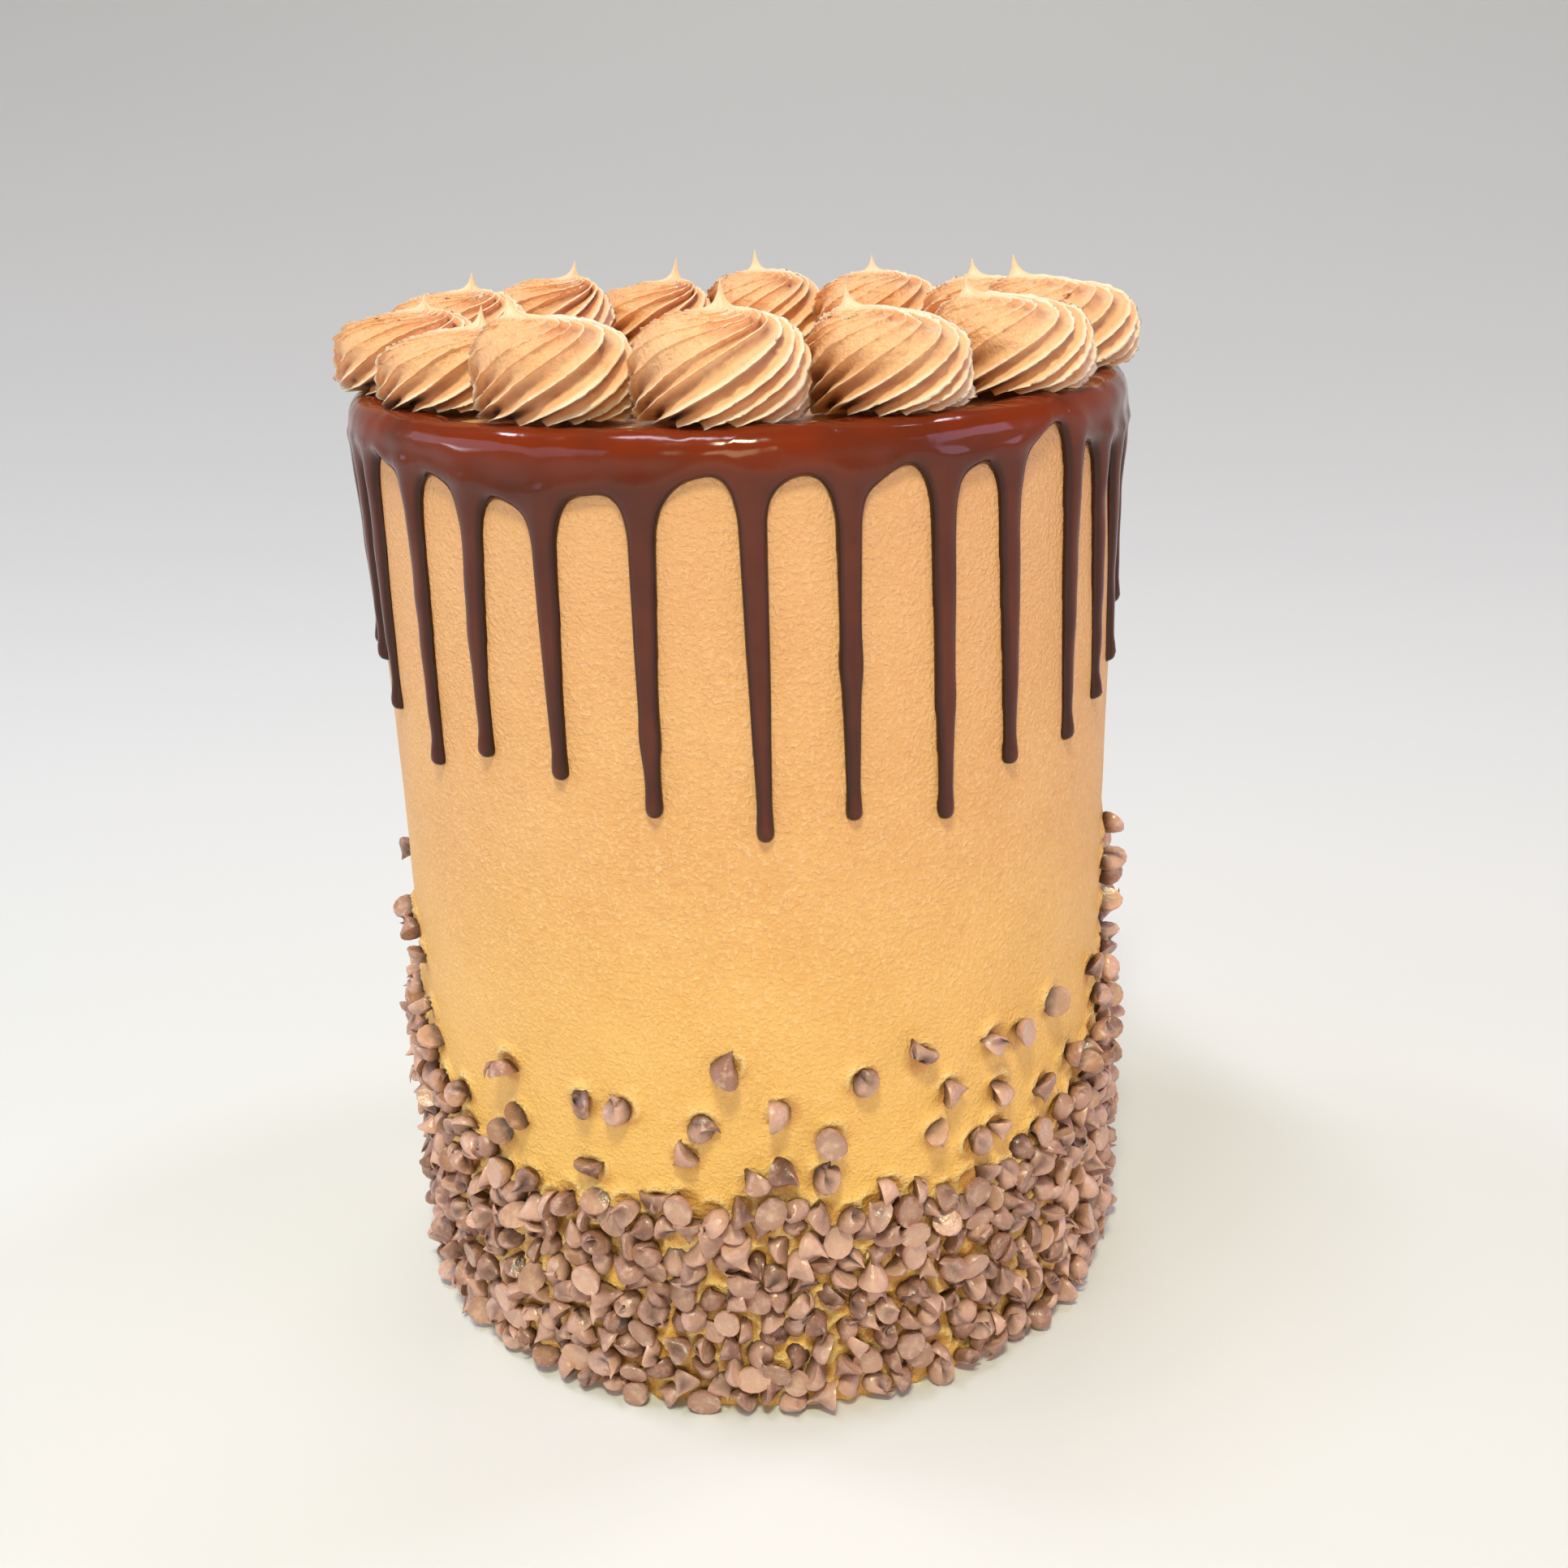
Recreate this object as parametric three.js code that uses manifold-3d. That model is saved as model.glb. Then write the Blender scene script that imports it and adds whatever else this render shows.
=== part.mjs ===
// Tall round layer cake: a smooth frosted cylinder with chocolate chips pressed round its foot,
// a ganache rim that runs down the side in drips, and a ring of piped rosettes on top.
// Millimetres, +Z up. The origin is the centre of the flat underside. Angles are in degrees,
// 0 at the front (-Y) and growing towards +X.
import * as THREE from 'three';
import { mergeVertices } from 'three/addons/utils/BufferGeometryUtils.js';
import Module from 'manifold-3d';

const wasm = await Module();
wasm.setup();

// ---- Driving dimensions ----
const CAKE_RADIUS = 86;
const CAKE_HEIGHT = 220;
const CAKE_EDGE = 3; // radius of the rounded top edge
const CAKE_SIDES = 56; // flat faces round the cake
const GAP = 0.35; // air between separate pieces

const GANACHE_SIDE = 2.2; // thickness on the side of the cake
const GANACHE_SIDES = 84; // flat faces round its rim
const GANACHE_TOP = 1.8; // thickness on top, just inside the rim
const GANACHE_INNER_RADIUS = 79; // where it stops on top
const GANACHE_INNER_SLOPE = 2; // its edge there runs out over this width
const ARCH_CORNER = 5; // how much lower its lower edge is beside a drip than between two
// Its lower edge between the drips in view, left to right: [angle, depth below the top].
const FRONT_ARCHES = [
  [-70, 9], [-60.6, 7.5], [-45.3, 9.4], [-32.6, 13], [-19.7, 9.9], [-3.7, 6.4], [9.5, 7.8],
  [22, 7.3], [34.1, 8.7], [47.4, 4.7], [58.7, 10], [70, 9],
];
const DRIP_TOP_HALF_WIDTH = 3.4;
const DRIP_TIP_HALF_WIDTH = 2.0;
const DRIP_ROOT_FLARE = 3.6; // extra half width where a drip leaves the rim
const DRIP_THICKNESS = 2.1;
const DRIP_START = 3.7; // how far below the top a drip begins, hidden in the rim
// The drips in view, left to right: [angle at the root, angle at the tip, length below the top].
const FRONT_DRIPS = [
  [-76, -78, 57], [-63.5, -67.6, 66], [-50.5, -51.8, 72.6], [-37.7, -39.8, 66.8],
  [-26.4, -27.1, 68.8], [-12.9, -13.6, 74.9], [1, 1.1, 80.1], [13.2, 13.1, 77.1],
  [26.3, 26.7, 80.4], [37.2, 38.4, 72.8], [49.7, 51.6, 72.8], [59.3, 62.7, 68.3], [72, 76.5, 62],
];
const BACK_DRIPS = 15; // evenly round the rest of the cake
const BACK_DRIP_LENGTH = [48, 74]; // shortest and longest

// The rosettes, from the front round by the right:
// [angle, distance from the axis, radius, height of the dome, height of the tip, its pull to +X].
const ROSETTES = [
  [-3, 69.5, 16.8, 21.5, 26.4, 1],
  [24.8, 69.5, 16.2, 20, 24, -8],
  [53, 70, 17.2, 19.8, 23.6, -9],
  [83.5, 72.5, 17.4, 20.4, 24.9, -10],
  [115.5, 71, 17.2, 17.8, 21.7, -6],
  [147.5, 69.5, 15.6, 18, 21.5, -1.5],
  [173.2, 69.5, 14.9, 18.4, 23.4, -2.5],
  [198.4, 69.5, 14.9, 17, 22.5, 7],
  [223.8, 69.5, 15.1, 19.6, 23.3, 8],
  [249.5, 72, 15.9, 19.4, 23, 5],
  [275.5, 74, 15.9, 18, 21, 5],
  [301.5, 69.5, 15.6, 16.5, 20.5, 7],
  [329.2, 69.5, 16.2, 20.4, 24.8, -8.5],
];
const ROSETTE_RIDGES = 14;
const ROSETTE_VALLEY = 0.85; // valley radius as a share of the ridge radius
const ROSETTE_TWIST = 115; // how far round a ridge winds from its foot to the tip

const CHIP_RADIUS = 3.2;
const CHIP_HEIGHT = 5.6;
const CHIP_SIDES = 5;
const BAND_CHIPS = 150; // packed round the foot
const LOOSE_CHIPS = 35; // scattered above them
const BAND_HEIGHT = 54; // top of the packed band at the front
const BAND_RISE = 18; // how much higher it is at the sides and back
const BAND_RISE_ANGLES = [42, 76]; // from the front, where that rise begins and ends
const BAND_WAVE = 3; // uneven height of the band
const LOOSE_HEIGHT = 92; // highest loose chip at the front
const CHIP_SHOWING = 0.74; // share of a chip's depth that stands out of the frosting
const CHIP_TRIES = 14; // candidates weighed for each chip, so that they spread evenly
const CHIP_BASE_OUT = 0.3; // share of the chips whose flat base faces out

const COLOURS = { frosting: 0xf0b878, ganache: 0x4a1f12, rosette: 0xdfa068 };

// ---- Helpers ----
const radians = THREE.MathUtils.degToRad;
const smooth = THREE.MathUtils.smoothstep;

/** Seeded random numbers from 0 to 1. */
function seeded(seed) {
  let state = seed;
  return () => {
    state = (state * 1664525 + 1013904223) % 4294967296;
    return state / 4294967296;
  };
}

/** The point at an angle round the cake, a distance from its axis and a height. */
function around(angle, radius, height) {
  const turn = radians(angle);
  return new THREE.Vector3(radius * Math.sin(turn), -radius * Math.cos(turn), height);
}

/** Merges the shared vertices of a geometry and drops the triangles that this empties. */
function welded(geometry) {
  geometry.deleteAttribute('normal');
  geometry.deleteAttribute('uv');
  const merged = mergeVertices(geometry, 1e-4);
  const index = merged.index.array;
  const kept = [];
  for (let i = 0; i < index.length; i += 3) {
    const [a, b, c] = [index[i], index[i + 1], index[i + 2]];
    if (a !== b && b !== c && c !== a) kept.push(a, b, c);
  }
  merged.setIndex(kept);
  return merged;
}

/** Turns the triangles of a closed geometry outward if its volume comes out negative. */
function facingOut(geometry) {
  const points = geometry.attributes.position;
  const index = Array.from(geometry.index.array);
  const [a, b, c] = [new THREE.Vector3(), new THREE.Vector3(), new THREE.Vector3()];
  let volume = 0;
  for (let i = 0; i < index.length; i += 3) {
    a.fromBufferAttribute(points, index[i]);
    b.fromBufferAttribute(points, index[i + 1]);
    c.fromBufferAttribute(points, index[i + 2]);
    volume += a.dot(b.cross(c));
  }
  if (volume < 0) index.reverse();
  geometry.setIndex(index);
  return geometry;
}

/** Spins a profile of [radius, height] pairs, then moves every vertex with a rule. */
function spun(profile, sides, rule = (point) => point) {
  const outline = profile.map(([radius, height]) => new THREE.Vector2(radius, height));
  const geometry = welded(new THREE.LatheGeometry(outline, sides));
  geometry.rotateX(Math.PI / 2);
  const points = geometry.attributes.position;
  const point = new THREE.Vector3();
  for (let i = 0; i < points.count; i += 1) {
    const moved = rule(point.fromBufferAttribute(points, i));
    points.setXYZ(i, moved.x, moved.y, moved.z);
  }
  return facingOut(geometry);
}

function toSolid(geometry) {
  return new wasm.Manifold(new wasm.Mesh({
    numProp: 3,
    vertProperties: new Float32Array(geometry.attributes.position.array),
    triVerts: new Uint32Array(geometry.index.array),
  }));
}

function toGeometry(solid) {
  const mesh = solid.getMesh();
  const geometry = new THREE.BufferGeometry();
  geometry.setAttribute('position', new THREE.BufferAttribute(mesh.vertProperties, 3));
  geometry.setIndex(new THREE.BufferAttribute(mesh.triVerts, 1));
  return geometry;
}

/** Joins solids and keeps the outer body, without loose scraps or sealed hollows. */
function joined(geometries) {
  const whole = wasm.Manifold.union(geometries.map(toSolid));
  const bodies = whole.decompose().sort((p, q) => q.volume() - p.volume());
  return toGeometry(bodies[0]);
}

function part(name, geometry, colour, roughness) {
  const material = new THREE.MeshStandardMaterial({ color: colour, roughness, metalness: 0 });
  const mesh = new THREE.Mesh(geometry, material);
  mesh.name = name;
  return mesh;
}

// ---- Cake with its chips ----
/** Points of the rounded top edge, grown outwards by a margin. */
function topEdge(margin) {
  const steps = 2;
  const points = [];
  for (let i = 0; i <= steps; i += 1) {
    const turn = (Math.PI / 2) * (i / steps);
    points.push([
      CAKE_RADIUS - CAKE_EDGE + (CAKE_EDGE + margin) * Math.cos(turn),
      CAKE_HEIGHT - CAKE_EDGE + (CAKE_EDGE + margin) * Math.sin(turn),
    ]);
  }
  return points;
}

function cakeBody() {
  return spun([[0, 0], [CAKE_RADIUS, 0], ...topEdge(0), [0, CAKE_HEIGHT]], CAKE_SIDES);
}

/** How far an angle is round towards the sides and back, from 0 at the front to 1. */
function sideShare(angle) {
  const fromFront = Math.abs(THREE.MathUtils.euclideanModulo(angle + 180, 360) - 180);
  return smooth(fromFront, ...BAND_RISE_ANGLES);
}

function bandTop(angle) {
  const wave = BAND_WAVE * Math.sin(radians(5 * angle + 40));
  return BAND_HEIGHT + BAND_RISE * sideShare(angle) + wave;
}

function looseTop(angle) {
  return LOOSE_HEIGHT + BAND_RISE * sideShare(angle);
}

/** Picks places spread evenly between two heights: the best of a few draws each time. */
function spread(count, lowest, highest, random, taken) {
  const gapTo = (p, q) => {
    const turn = THREE.MathUtils.euclideanModulo(p.angle - q.angle + 180, 360) - 180;
    return Math.hypot(radians(turn) * CAKE_RADIUS, p.height - q.height);
  };
  for (let n = 0; n < count; n += 1) {
    let best = null;
    for (let k = 0; k < CHIP_TRIES; k += 1) {
      const angle = 360 * random() - 180;
      const height = THREE.MathUtils.lerp(lowest(angle), highest(angle), random());
      const place = { angle, height };
      place.room = Math.min(Infinity, ...taken.map((other) => gapTo(place, other)));
      if (best === null || place.room > best.room) best = place;
    }
    taken.push(best);
  }
}

/** One chip: a flat base, rounded flank and pointed tip, turned some way and pressed in. */
function chip({ angle, height }, random) {
  const bend = 0.5 * (random() - 0.5);
  const size = 0.9 + 0.2 * random();
  const profile = [
    [0, 0], [CHIP_RADIUS, 0], [0.78 * CHIP_RADIUS, 0.48 * CHIP_HEIGHT], [0, CHIP_HEIGHT],
  ];
  const out = around(angle, 1, 0);
  const along = around(angle + 90, 1, 0);
  const up = new THREE.Vector3(0, 0, 1);
  const turn = 2 * Math.PI * random();
  const lift = random() < CHIP_BASE_OUT ? -1 : 1.6 * random() - 0.4; // below 0 the tip points in
  const axis = along.clone().multiplyScalar(Math.cos(turn));
  axis.addScaledVector(up, Math.sin(turn)).addScaledVector(out, 1.4 * lift).normalize();
  const facing = new THREE.Quaternion().setFromUnitVectors(up, axis);
  const geometry = spun(profile, CHIP_SIDES, (point) => {
    point.x += bend * point.z * (point.z / CHIP_HEIGHT);
    return point.multiplyScalar(size).applyQuaternion(facing);
  });
  const points = geometry.attributes.position;
  const point = new THREE.Vector3();
  let [inner, outer, lowest] = [Infinity, -Infinity, Infinity];
  for (let i = 0; i < points.count; i += 1) {
    point.fromBufferAttribute(points, i);
    inner = Math.min(inner, point.dot(out));
    outer = Math.max(outer, point.dot(out));
    lowest = Math.min(lowest, point.z);
  }
  const sunk = (1 - CHIP_SHOWING) * (outer - inner);
  const place = out.clone().multiplyScalar(CAKE_RADIUS - sunk - inner);
  place.z = Math.max(height, GAP - lowest);
  geometry.translate(place.x, place.y, place.z);
  return geometry;
}

function cakeWithChips() {
  const random = seeded(11);
  const places = [];
  spread(BAND_CHIPS, () => CHIP_RADIUS, bandTop, random, places);
  spread(LOOSE_CHIPS, (angle) => bandTop(angle) + 2 * CHIP_RADIUS, looseTop, random, places);
  return joined([cakeBody(), ...places.map((place) => chip(place, random))]);
}

// ---- Ganache ----
/** All drips, from the left of the view round the front and back again: [root, tip, length]. */
function allDrips() {
  const random = seeded(5);
  const first = FRONT_DRIPS[0][1];
  const last = FRONT_DRIPS[FRONT_DRIPS.length - 1][1];
  const step = (first + 360 - last) / (BACK_DRIPS + 1);
  const drips = [...FRONT_DRIPS];
  for (let i = 1; i <= BACK_DRIPS; i += 1) {
    const length = THREE.MathUtils.lerp(...BACK_DRIP_LENGTH, random());
    const root = last + step * i + 2 * (random() - 0.5);
    drips.push([root, root + 2 * (random() - 0.5), length]);
  }
  return drips;
}

/** Depth of the ganache's lower edge between two drips, as an even run from arch to arch. */
function archDepth(angle) {
  const at = THREE.MathUtils.euclideanModulo(angle - FRONT_ARCHES[0][0], 360) + FRONT_ARCHES[0][0];
  const arches = [...FRONT_ARCHES, [FRONT_ARCHES[0][0] + 360, FRONT_ARCHES[0][1]]];
  const next = arches.findIndex(([arch]) => arch > at);
  const [before, after] = [arches[next - 1], arches[next]];
  return THREE.MathUtils.mapLinear(at, before[0], after[0], before[1], after[1]);
}

/** Height of the ganache's lower edge: an arch between each two drips. */
function lowerEdge(angle, drips) {
  const turns = drips.map(([root]) => THREE.MathUtils.euclideanModulo(angle - root, 360));
  const since = Math.min(...turns);
  const until = Math.min(...turns.map((turn) => 360 - turn));
  const across = since / (since + until);
  const arch = (1 - (2 * across - 1) ** 4) ** 0.25;
  return CAKE_HEIGHT - archDepth(angle) - ARCH_CORNER * (1 - arch);
}

/** The ring of ganache over the top edge, closed in itself, with a wavy lower edge. */
function rim(drips) {
  const sideRadius = CAKE_RADIUS + GANACHE_SIDE + GAP;
  const inside = topEdge(GAP);
  const profile = [
    [GANACHE_INNER_RADIUS, CAKE_HEIGHT + GAP],
    [GANACHE_INNER_RADIUS + GANACHE_INNER_SLOPE, CAKE_HEIGHT + GAP + 0.8 * GANACHE_TOP],
    [CAKE_RADIUS - CAKE_EDGE, CAKE_HEIGHT + GAP + GANACHE_TOP],
    [sideRadius, CAKE_HEIGHT - 1.5],
    [sideRadius, 1.5],
    [CAKE_RADIUS + GAP, 0],
    ...inside,
  ];
  profile.push(profile[0]);
  const aboveEdge = CAKE_HEIGHT - 2 * CAKE_EDGE; // what is lower than this follows the arches
  return spun(profile, GANACHE_SIDES, (point) => {
    const angle = THREE.MathUtils.radToDeg(Math.atan2(point.x, -point.y));
    if (point.z < aboveEdge) point.z += lowerEdge(angle, drips);
    return point;
  });
}

/** One drip: a flat-backed finger that hugs the side, flared at its root, with a round tip. */
function drip([root, tip, length]) {
  const rootEnd = 0.2; // shares of the drip's length, from its root to its tip
  const tipStart = 0.93;
  const stations = [0, rootEnd / 2, rootEnd, tipStart, 0.98];
  const start = CAKE_HEIGHT - DRIP_START;
  const reach = length - DRIP_START;
  const halfWidth = (share) => {
    const taper = THREE.MathUtils.lerp(DRIP_TOP_HALF_WIDTH, DRIP_TIP_HALF_WIDTH, share);
    const flare = DRIP_ROOT_FLARE * (1 - smooth(share, 0, rootEnd));
    const intoTip = Math.max(0, (share - tipStart) / (1 - tipStart));
    return (taper + flare) * Math.sqrt(Math.max(0, 1 - intoTip ** 2));
  };
  const profile = [[0, 0], ...stations.map((share) => [halfWidth(share), share]), [0, 1]];
  const sides = 6;
  return spun(profile, sides, (point) => {
    const half = halfWidth(point.z);
    const depth = half > 0 ? Math.max(0, -point.y / half) : 0; // 0 at the back, 1 at the front
    const thick = DRIP_THICKNESS * Math.min(1, half / DRIP_TIP_HALF_WIDTH);
    const sag = half ** 2 / (2 * CAKE_RADIUS); // keeps the flat back clear of the round side
    const radius = CAKE_RADIUS + GAP + Math.max(sag, depth * thick);
    const middle = THREE.MathUtils.lerp(root, tip, smooth(point.z, 0, 0.8));
    const turn = middle + THREE.MathUtils.radToDeg(point.x / CAKE_RADIUS);
    return around(turn, radius, start - point.z * reach);
  });
}

function ganache() {
  const drips = allDrips();
  return joined([rim(drips), ...drips.map(drip)]);
}

// ---- Rosettes ----
/** One piped rosette: a tucked-in foot, a twisted, ridged dome and a pulled, leaning tip. */
function rosette([angle, ringRadius, radius, dome, height, pull]) {
  const profile = [
    [0, 0], [0.86 * radius, 0], [radius, 0.38 * dome],
    [0.88 * radius, 0.8 * dome], [0.3 * radius, 1.02 * dome], [0, height],
  ];
  const centre = around(angle, ringRadius, CAKE_HEIGHT + GAP);
  const outward = around(angle, 1, 0);
  return spun(profile, 2 * ROSETTE_RIDGES, (point) => {
    const share = point.z / height;
    const reach = Math.hypot(point.x, point.y);
    const turn = Math.atan2(point.y, point.x);
    const place = Math.round(turn / (Math.PI / ROSETTE_RIDGES));
    const groove = place % 2 === 0 ? 1 : ROSETTE_VALLEY;
    const twisted = turn + radians(ROSETTE_TWIST) * share;
    // The tip is pulled to one side, and the foot rises where it rests on the ganache.
    point.x = reach * groove * Math.cos(twisted) + pull * share ** 5;
    point.y = reach * groove * Math.sin(twisted);
    const rise = smooth(point.dot(outward), -radius, 0.6 * radius);
    point.z += (1 - share) ** 6 * (GANACHE_TOP + GAP) * rise;
    return point.add(centre);
  });
}

// ---- The whole cake ----
const cake = new THREE.Group();
cake.add(part('cake', cakeWithChips(), COLOURS.frosting, 0.6));
cake.add(part('ganache', ganache(), COLOURS.ganache, 0.15));
ROSETTES.forEach((row, index) => {
  const name = `rosette_${String(index + 1).padStart(2, '0')}`;
  cake.add(part(name, rosette(row), COLOURS.rosette, 0.6));
});

export default cake;
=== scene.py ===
# Looks of a tall round layer cake with a chocolate drip rim, piped rosettes and chocolate chips.
# Shapes are worked out in millimetres, +Z up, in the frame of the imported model, and scaled to
# metres when a mesh is made. Angles on the cake are in degrees, 0 at the front (-Y) and growing
# towards +X.
import math

import bpy
import numpy as np
from mathutils import Matrix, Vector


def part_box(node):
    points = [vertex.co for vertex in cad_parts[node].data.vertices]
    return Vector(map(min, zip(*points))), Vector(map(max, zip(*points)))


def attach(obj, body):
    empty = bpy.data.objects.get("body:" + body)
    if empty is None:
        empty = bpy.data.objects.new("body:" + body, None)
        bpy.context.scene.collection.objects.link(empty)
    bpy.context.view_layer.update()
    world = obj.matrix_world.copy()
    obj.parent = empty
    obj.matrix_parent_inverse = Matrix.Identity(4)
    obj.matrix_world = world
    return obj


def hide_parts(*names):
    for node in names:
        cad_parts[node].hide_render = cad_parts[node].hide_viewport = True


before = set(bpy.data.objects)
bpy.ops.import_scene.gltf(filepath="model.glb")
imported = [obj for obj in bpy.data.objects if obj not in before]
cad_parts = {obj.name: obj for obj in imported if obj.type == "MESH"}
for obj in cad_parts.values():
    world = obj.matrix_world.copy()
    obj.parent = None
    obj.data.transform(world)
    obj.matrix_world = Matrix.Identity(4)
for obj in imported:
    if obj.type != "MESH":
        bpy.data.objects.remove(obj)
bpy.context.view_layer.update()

MM = 0.001

# ---- Camera of the photograph ----
PHOTO_SIZE = 1932  # pixels, square
FOCAL_PIXELS = 2089
SENSOR = 36  # mm
CAMERA_PLACE = np.array([0.0, -399.2, 271.1])
CAMERA_YAW = 1.04  # degrees, to the right
CAMERA_PITCH = 20.79  # down
CAMERA_ROLL = -2.03

# ---- Cake ----
CAKE_RADIUS = 86
CAKE_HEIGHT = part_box("cake")[1].z / MM
CAKE_EDGE = 3  # radius of the rounded top edge
DEGREE = math.radians(1) * CAKE_RADIUS  # one degree along the side
GIRTH = 360 * DEGREE
CAKE_COLUMNS = 540
CHIP_ZONE = 112  # height up to which the frosting has fine rows, for the marks round the chips
FINE_ROW = 1.0
COARSE_ROW = 3.4
# Unevenness of a surface: rows of height, wavelength and seed.
SIDE_WAVES = [(0.22, 60, 1), (0.066, 16, 2)]
BAND_WAVES = [(0.63, 7, 3), (0.36, 3.6, 4)]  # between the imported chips
TOP_WAVES = [(0.25, 22, 6)]
HALO_HEIGHT = 1.3  # frosting pushed up round a chip
HALO_RADIUS = 3.2
HALO_WIDTH = 0.9
HALO_STRAY = (0.5, 0.6, 1.3)  # how far it strays sideways, up or down, and in its turn
MARK_REACH = 8  # nothing of a chip's mark lies further from it
SHADE_RADIUS = 4.1  # of the shade round a chip
SHADE_DROP = 1.3  # how far it lies below the chip
BAND_SWELL = 0.4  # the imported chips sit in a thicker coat
BAND_FADE = (-6, 4)  # which thins out from below the band's top to above it

# ---- Ganache ----
RIM_THICKNESS = 2.3
RIM_TOP_THICKNESS = 2.0
RIM_INWARD = 6.8  # from the side of the cake in to where it stops on top, on average
EDGE_ROUND = 1.15  # how quickly it thickens in from its edges
BEAD_SWELL = 0.5  # extra thickness along the lower edge
BEAD_PLACE = 2.2  # distance of that swell from the edge
BEAD_WIDTH = 1.6
DRIP_CHANNEL = 0.5  # extra thickness on the rim above each drip
CHANNEL_WIDTH = 3.4
CHANNEL_END = (12, 24)  # it dies out from the first depth to the second
DRIP_WIDTHS = ([0, 0.5, 0.9, 0.97, 1], [2.95, 2.35, 1.6, 1.85, 1.85])  # share, half width
DRIP_FLARE = 1.1  # extra half width at the root
DRIP_FLARE_LENGTH = 9
DRIP_BULGE = 0.22  # largest swell part of the way down, as a share of the width
BULGE_PLACES = (0.4, 0.8)  # shares of the way down
BULGE_LENGTH = 0.06
DRIP_VARIES = (0.93, 1.07)  # from one drip's width to another's
TIP_SWELL = 0.7  # extra thickness of the drop at the tip
DROP_REACH = 3
FILLET = 5.0  # where a drip leaves the rim
GANACHE_CELL = (0.5, 0.8, 0.35)  # along the rim, down the side, through the thickness
GANACHE_DOWN = (-10, 86)  # from its inner edge on top to below the longest drip
GANACHE_OUT = 4.4  # above its thickest place
GANACHE_SUNK = 0.35  # its back lies this deep in the frosting
RELAX_ROUNDS = 6  # of smoothing its mesh
RELAX_WEIGHTS = (0.5, -0.52)
GANACHE_WAVES = [(0.16, 24, 33), (0.08, 9, 34)]
RIM_WAVES = [(1.6, 26, 31)]  # of its inner edge
EDGE_SHADE_WIDTH = 1.1  # width of the dark line of painted shade along its edges
# Drips in view, left to right: angle at the root, angle at the tip, length below the top.
FRONT_DRIPS = [
    (-83, -85, 38), (-76, -78.2, 55), (-70.5, -72.5, 56.5), (-64, -65.4, 65.2),
    (-50.5, -51.4, 72.4), (-38, -39.6, 66.6), (-26.4, -26.9, 68.5), (-12.9, -13.6, 74.9),
    (1.0, 1.1, 80.1), (13.2, 13.1, 77.1), (26.3, 26.7, 80.4), (37.2, 38.0, 72.3),
    (51.4, 51.6, 72.6), (60.6, 61.8, 67.8), (68.8, 70.8, 63), (78, 80.2, 53),
]
BACK_DRIPS = 15
BACK_DRIP_LENGTH = (48, 74)
BACK_DRIP_STRAY = 1.6  # degrees from an even spacing
BACK_DRIP_LEAN = 1.2
# Lower edge of the rim between the drips in view: angle, depth below the top.
FRONT_ARCHES = [
    (-78, 8), (-62, 7), (-58.7, 7.1), (-55.6, 9.2), (-46.6, 9), (-44.7, 8.7), (-43, 9.8),
    (-36.8, 11), (-33.6, 11.7), (-30, 12.9), (-23, 11), (-20.6, 10.4), (-17.3, 9.8), (-9.7, 9.8),
    (-8, 8.2), (-5.5, 6.9), (-2.7, 6.3), (4.3, 8.3), (6.1, 7.5), (8.3, 7.2), (10.3, 7.6),
    (17, 9.6), (18.5, 8.3), (20.3, 6.9), (22.3, 6.6), (23.8, 7.4), (31, 9), (32.4, 8.2),
    (34.5, 8), (35.6, 8.5), (42, 6.3), (43.7, 4.2), (45.5, 3.4), (47.6, 3.4), (49, 4.2),
    (56, 9.6), (58.2, 9.8), (65, 11), (74.5, 11.5),
]
BACK_ARCH_DEPTH = (6.5, 11)
BACK_ARCH_STEP = 9  # degrees
ARCH_SMOOTHING = ((-1.2, 0.25), (0, 0.5), (1.2, 0.25))  # degrees to either side, weight

# ---- Rosettes ----
ROSETTES = [name for name in sorted(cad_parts) if name.startswith("rosette_")]
ROSETTE_GROWTH = (1.05, 1.11)  # at the front and at the back: the real ones lean together
NIB_WIDTH = 0.055  # width of the pulled tip's flare, as a share of the radius
NIB_GROOVES = 0.3  # deepest groove, as a share of the radius there
NIB_EXTRA = 0.9  # its thin end above the solid's tip
EQUATOR = 0.4  # height of its widest place, as a share of the dome
FOOT_TUCK = 0.1  # how much narrower the foot is
SHOULDER_POWER = 3.0  # roundness of the dome: 2 is an ellipse, more is squarer
PULL_POWER = 1.25  # how early the rings of the dome follow the pulled tip
PULL_ASIDE = 2  # how far it strays to the front or back
ROSETTE_SUNK = 0.2
RIDGES = 15
RIDGE_SLOPE = 1.65  # tangent of the angle between a ridge and the upright
RIDGE_DEPTH = 2.8
RIDGE_FOOT_DEPTH = 5.4
RIDGE_SAG = 0.8  # how far a crest droops
RIDGE_POWERS = (1.8, 3.1)  # sharpness of the crests, least and most
RIDGE_UNEVEN = 0.2  # unevenness of their spacing
RIDGE_STRENGTHS = (0.7, 1.25)  # shallowest and deepest ridge
TEAR_ROWS = 9  # the crests are torn slowly over this many rows, and finely
TEAR_SLOW = 0.5
TEAR_FINE = 0.16
ROSETTE_WAVES = [(0.28, 11, 100), (0.1, 2.6, 200)]
RIDGE_SKEW = 0.72  # below 1 the valley lies nearer the underside of the crest above it
RIDGE_PHASES = [0, 0.016, 0.045, 0.09, 0.15, 0.23, 0.33, 0.45, 0.57, 0.69, 0.79, 0.87, 0.93, 0.975]
ROSETTE_ROWS = 64
PATCH_AZIMUTH = -124  # degrees from +X: where the dome is smooth, to the front left
PATCH_STRAY = 20
PATCH_WIDTH = 54
PATCH_CALM = 0.85  # share of the ridges that is gone there
PITS = 4  # air holes to a rosette
PIT_RADII = (0.45, 0.9)
PIT_DEPTHS = (0.5, 1.5)
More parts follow.
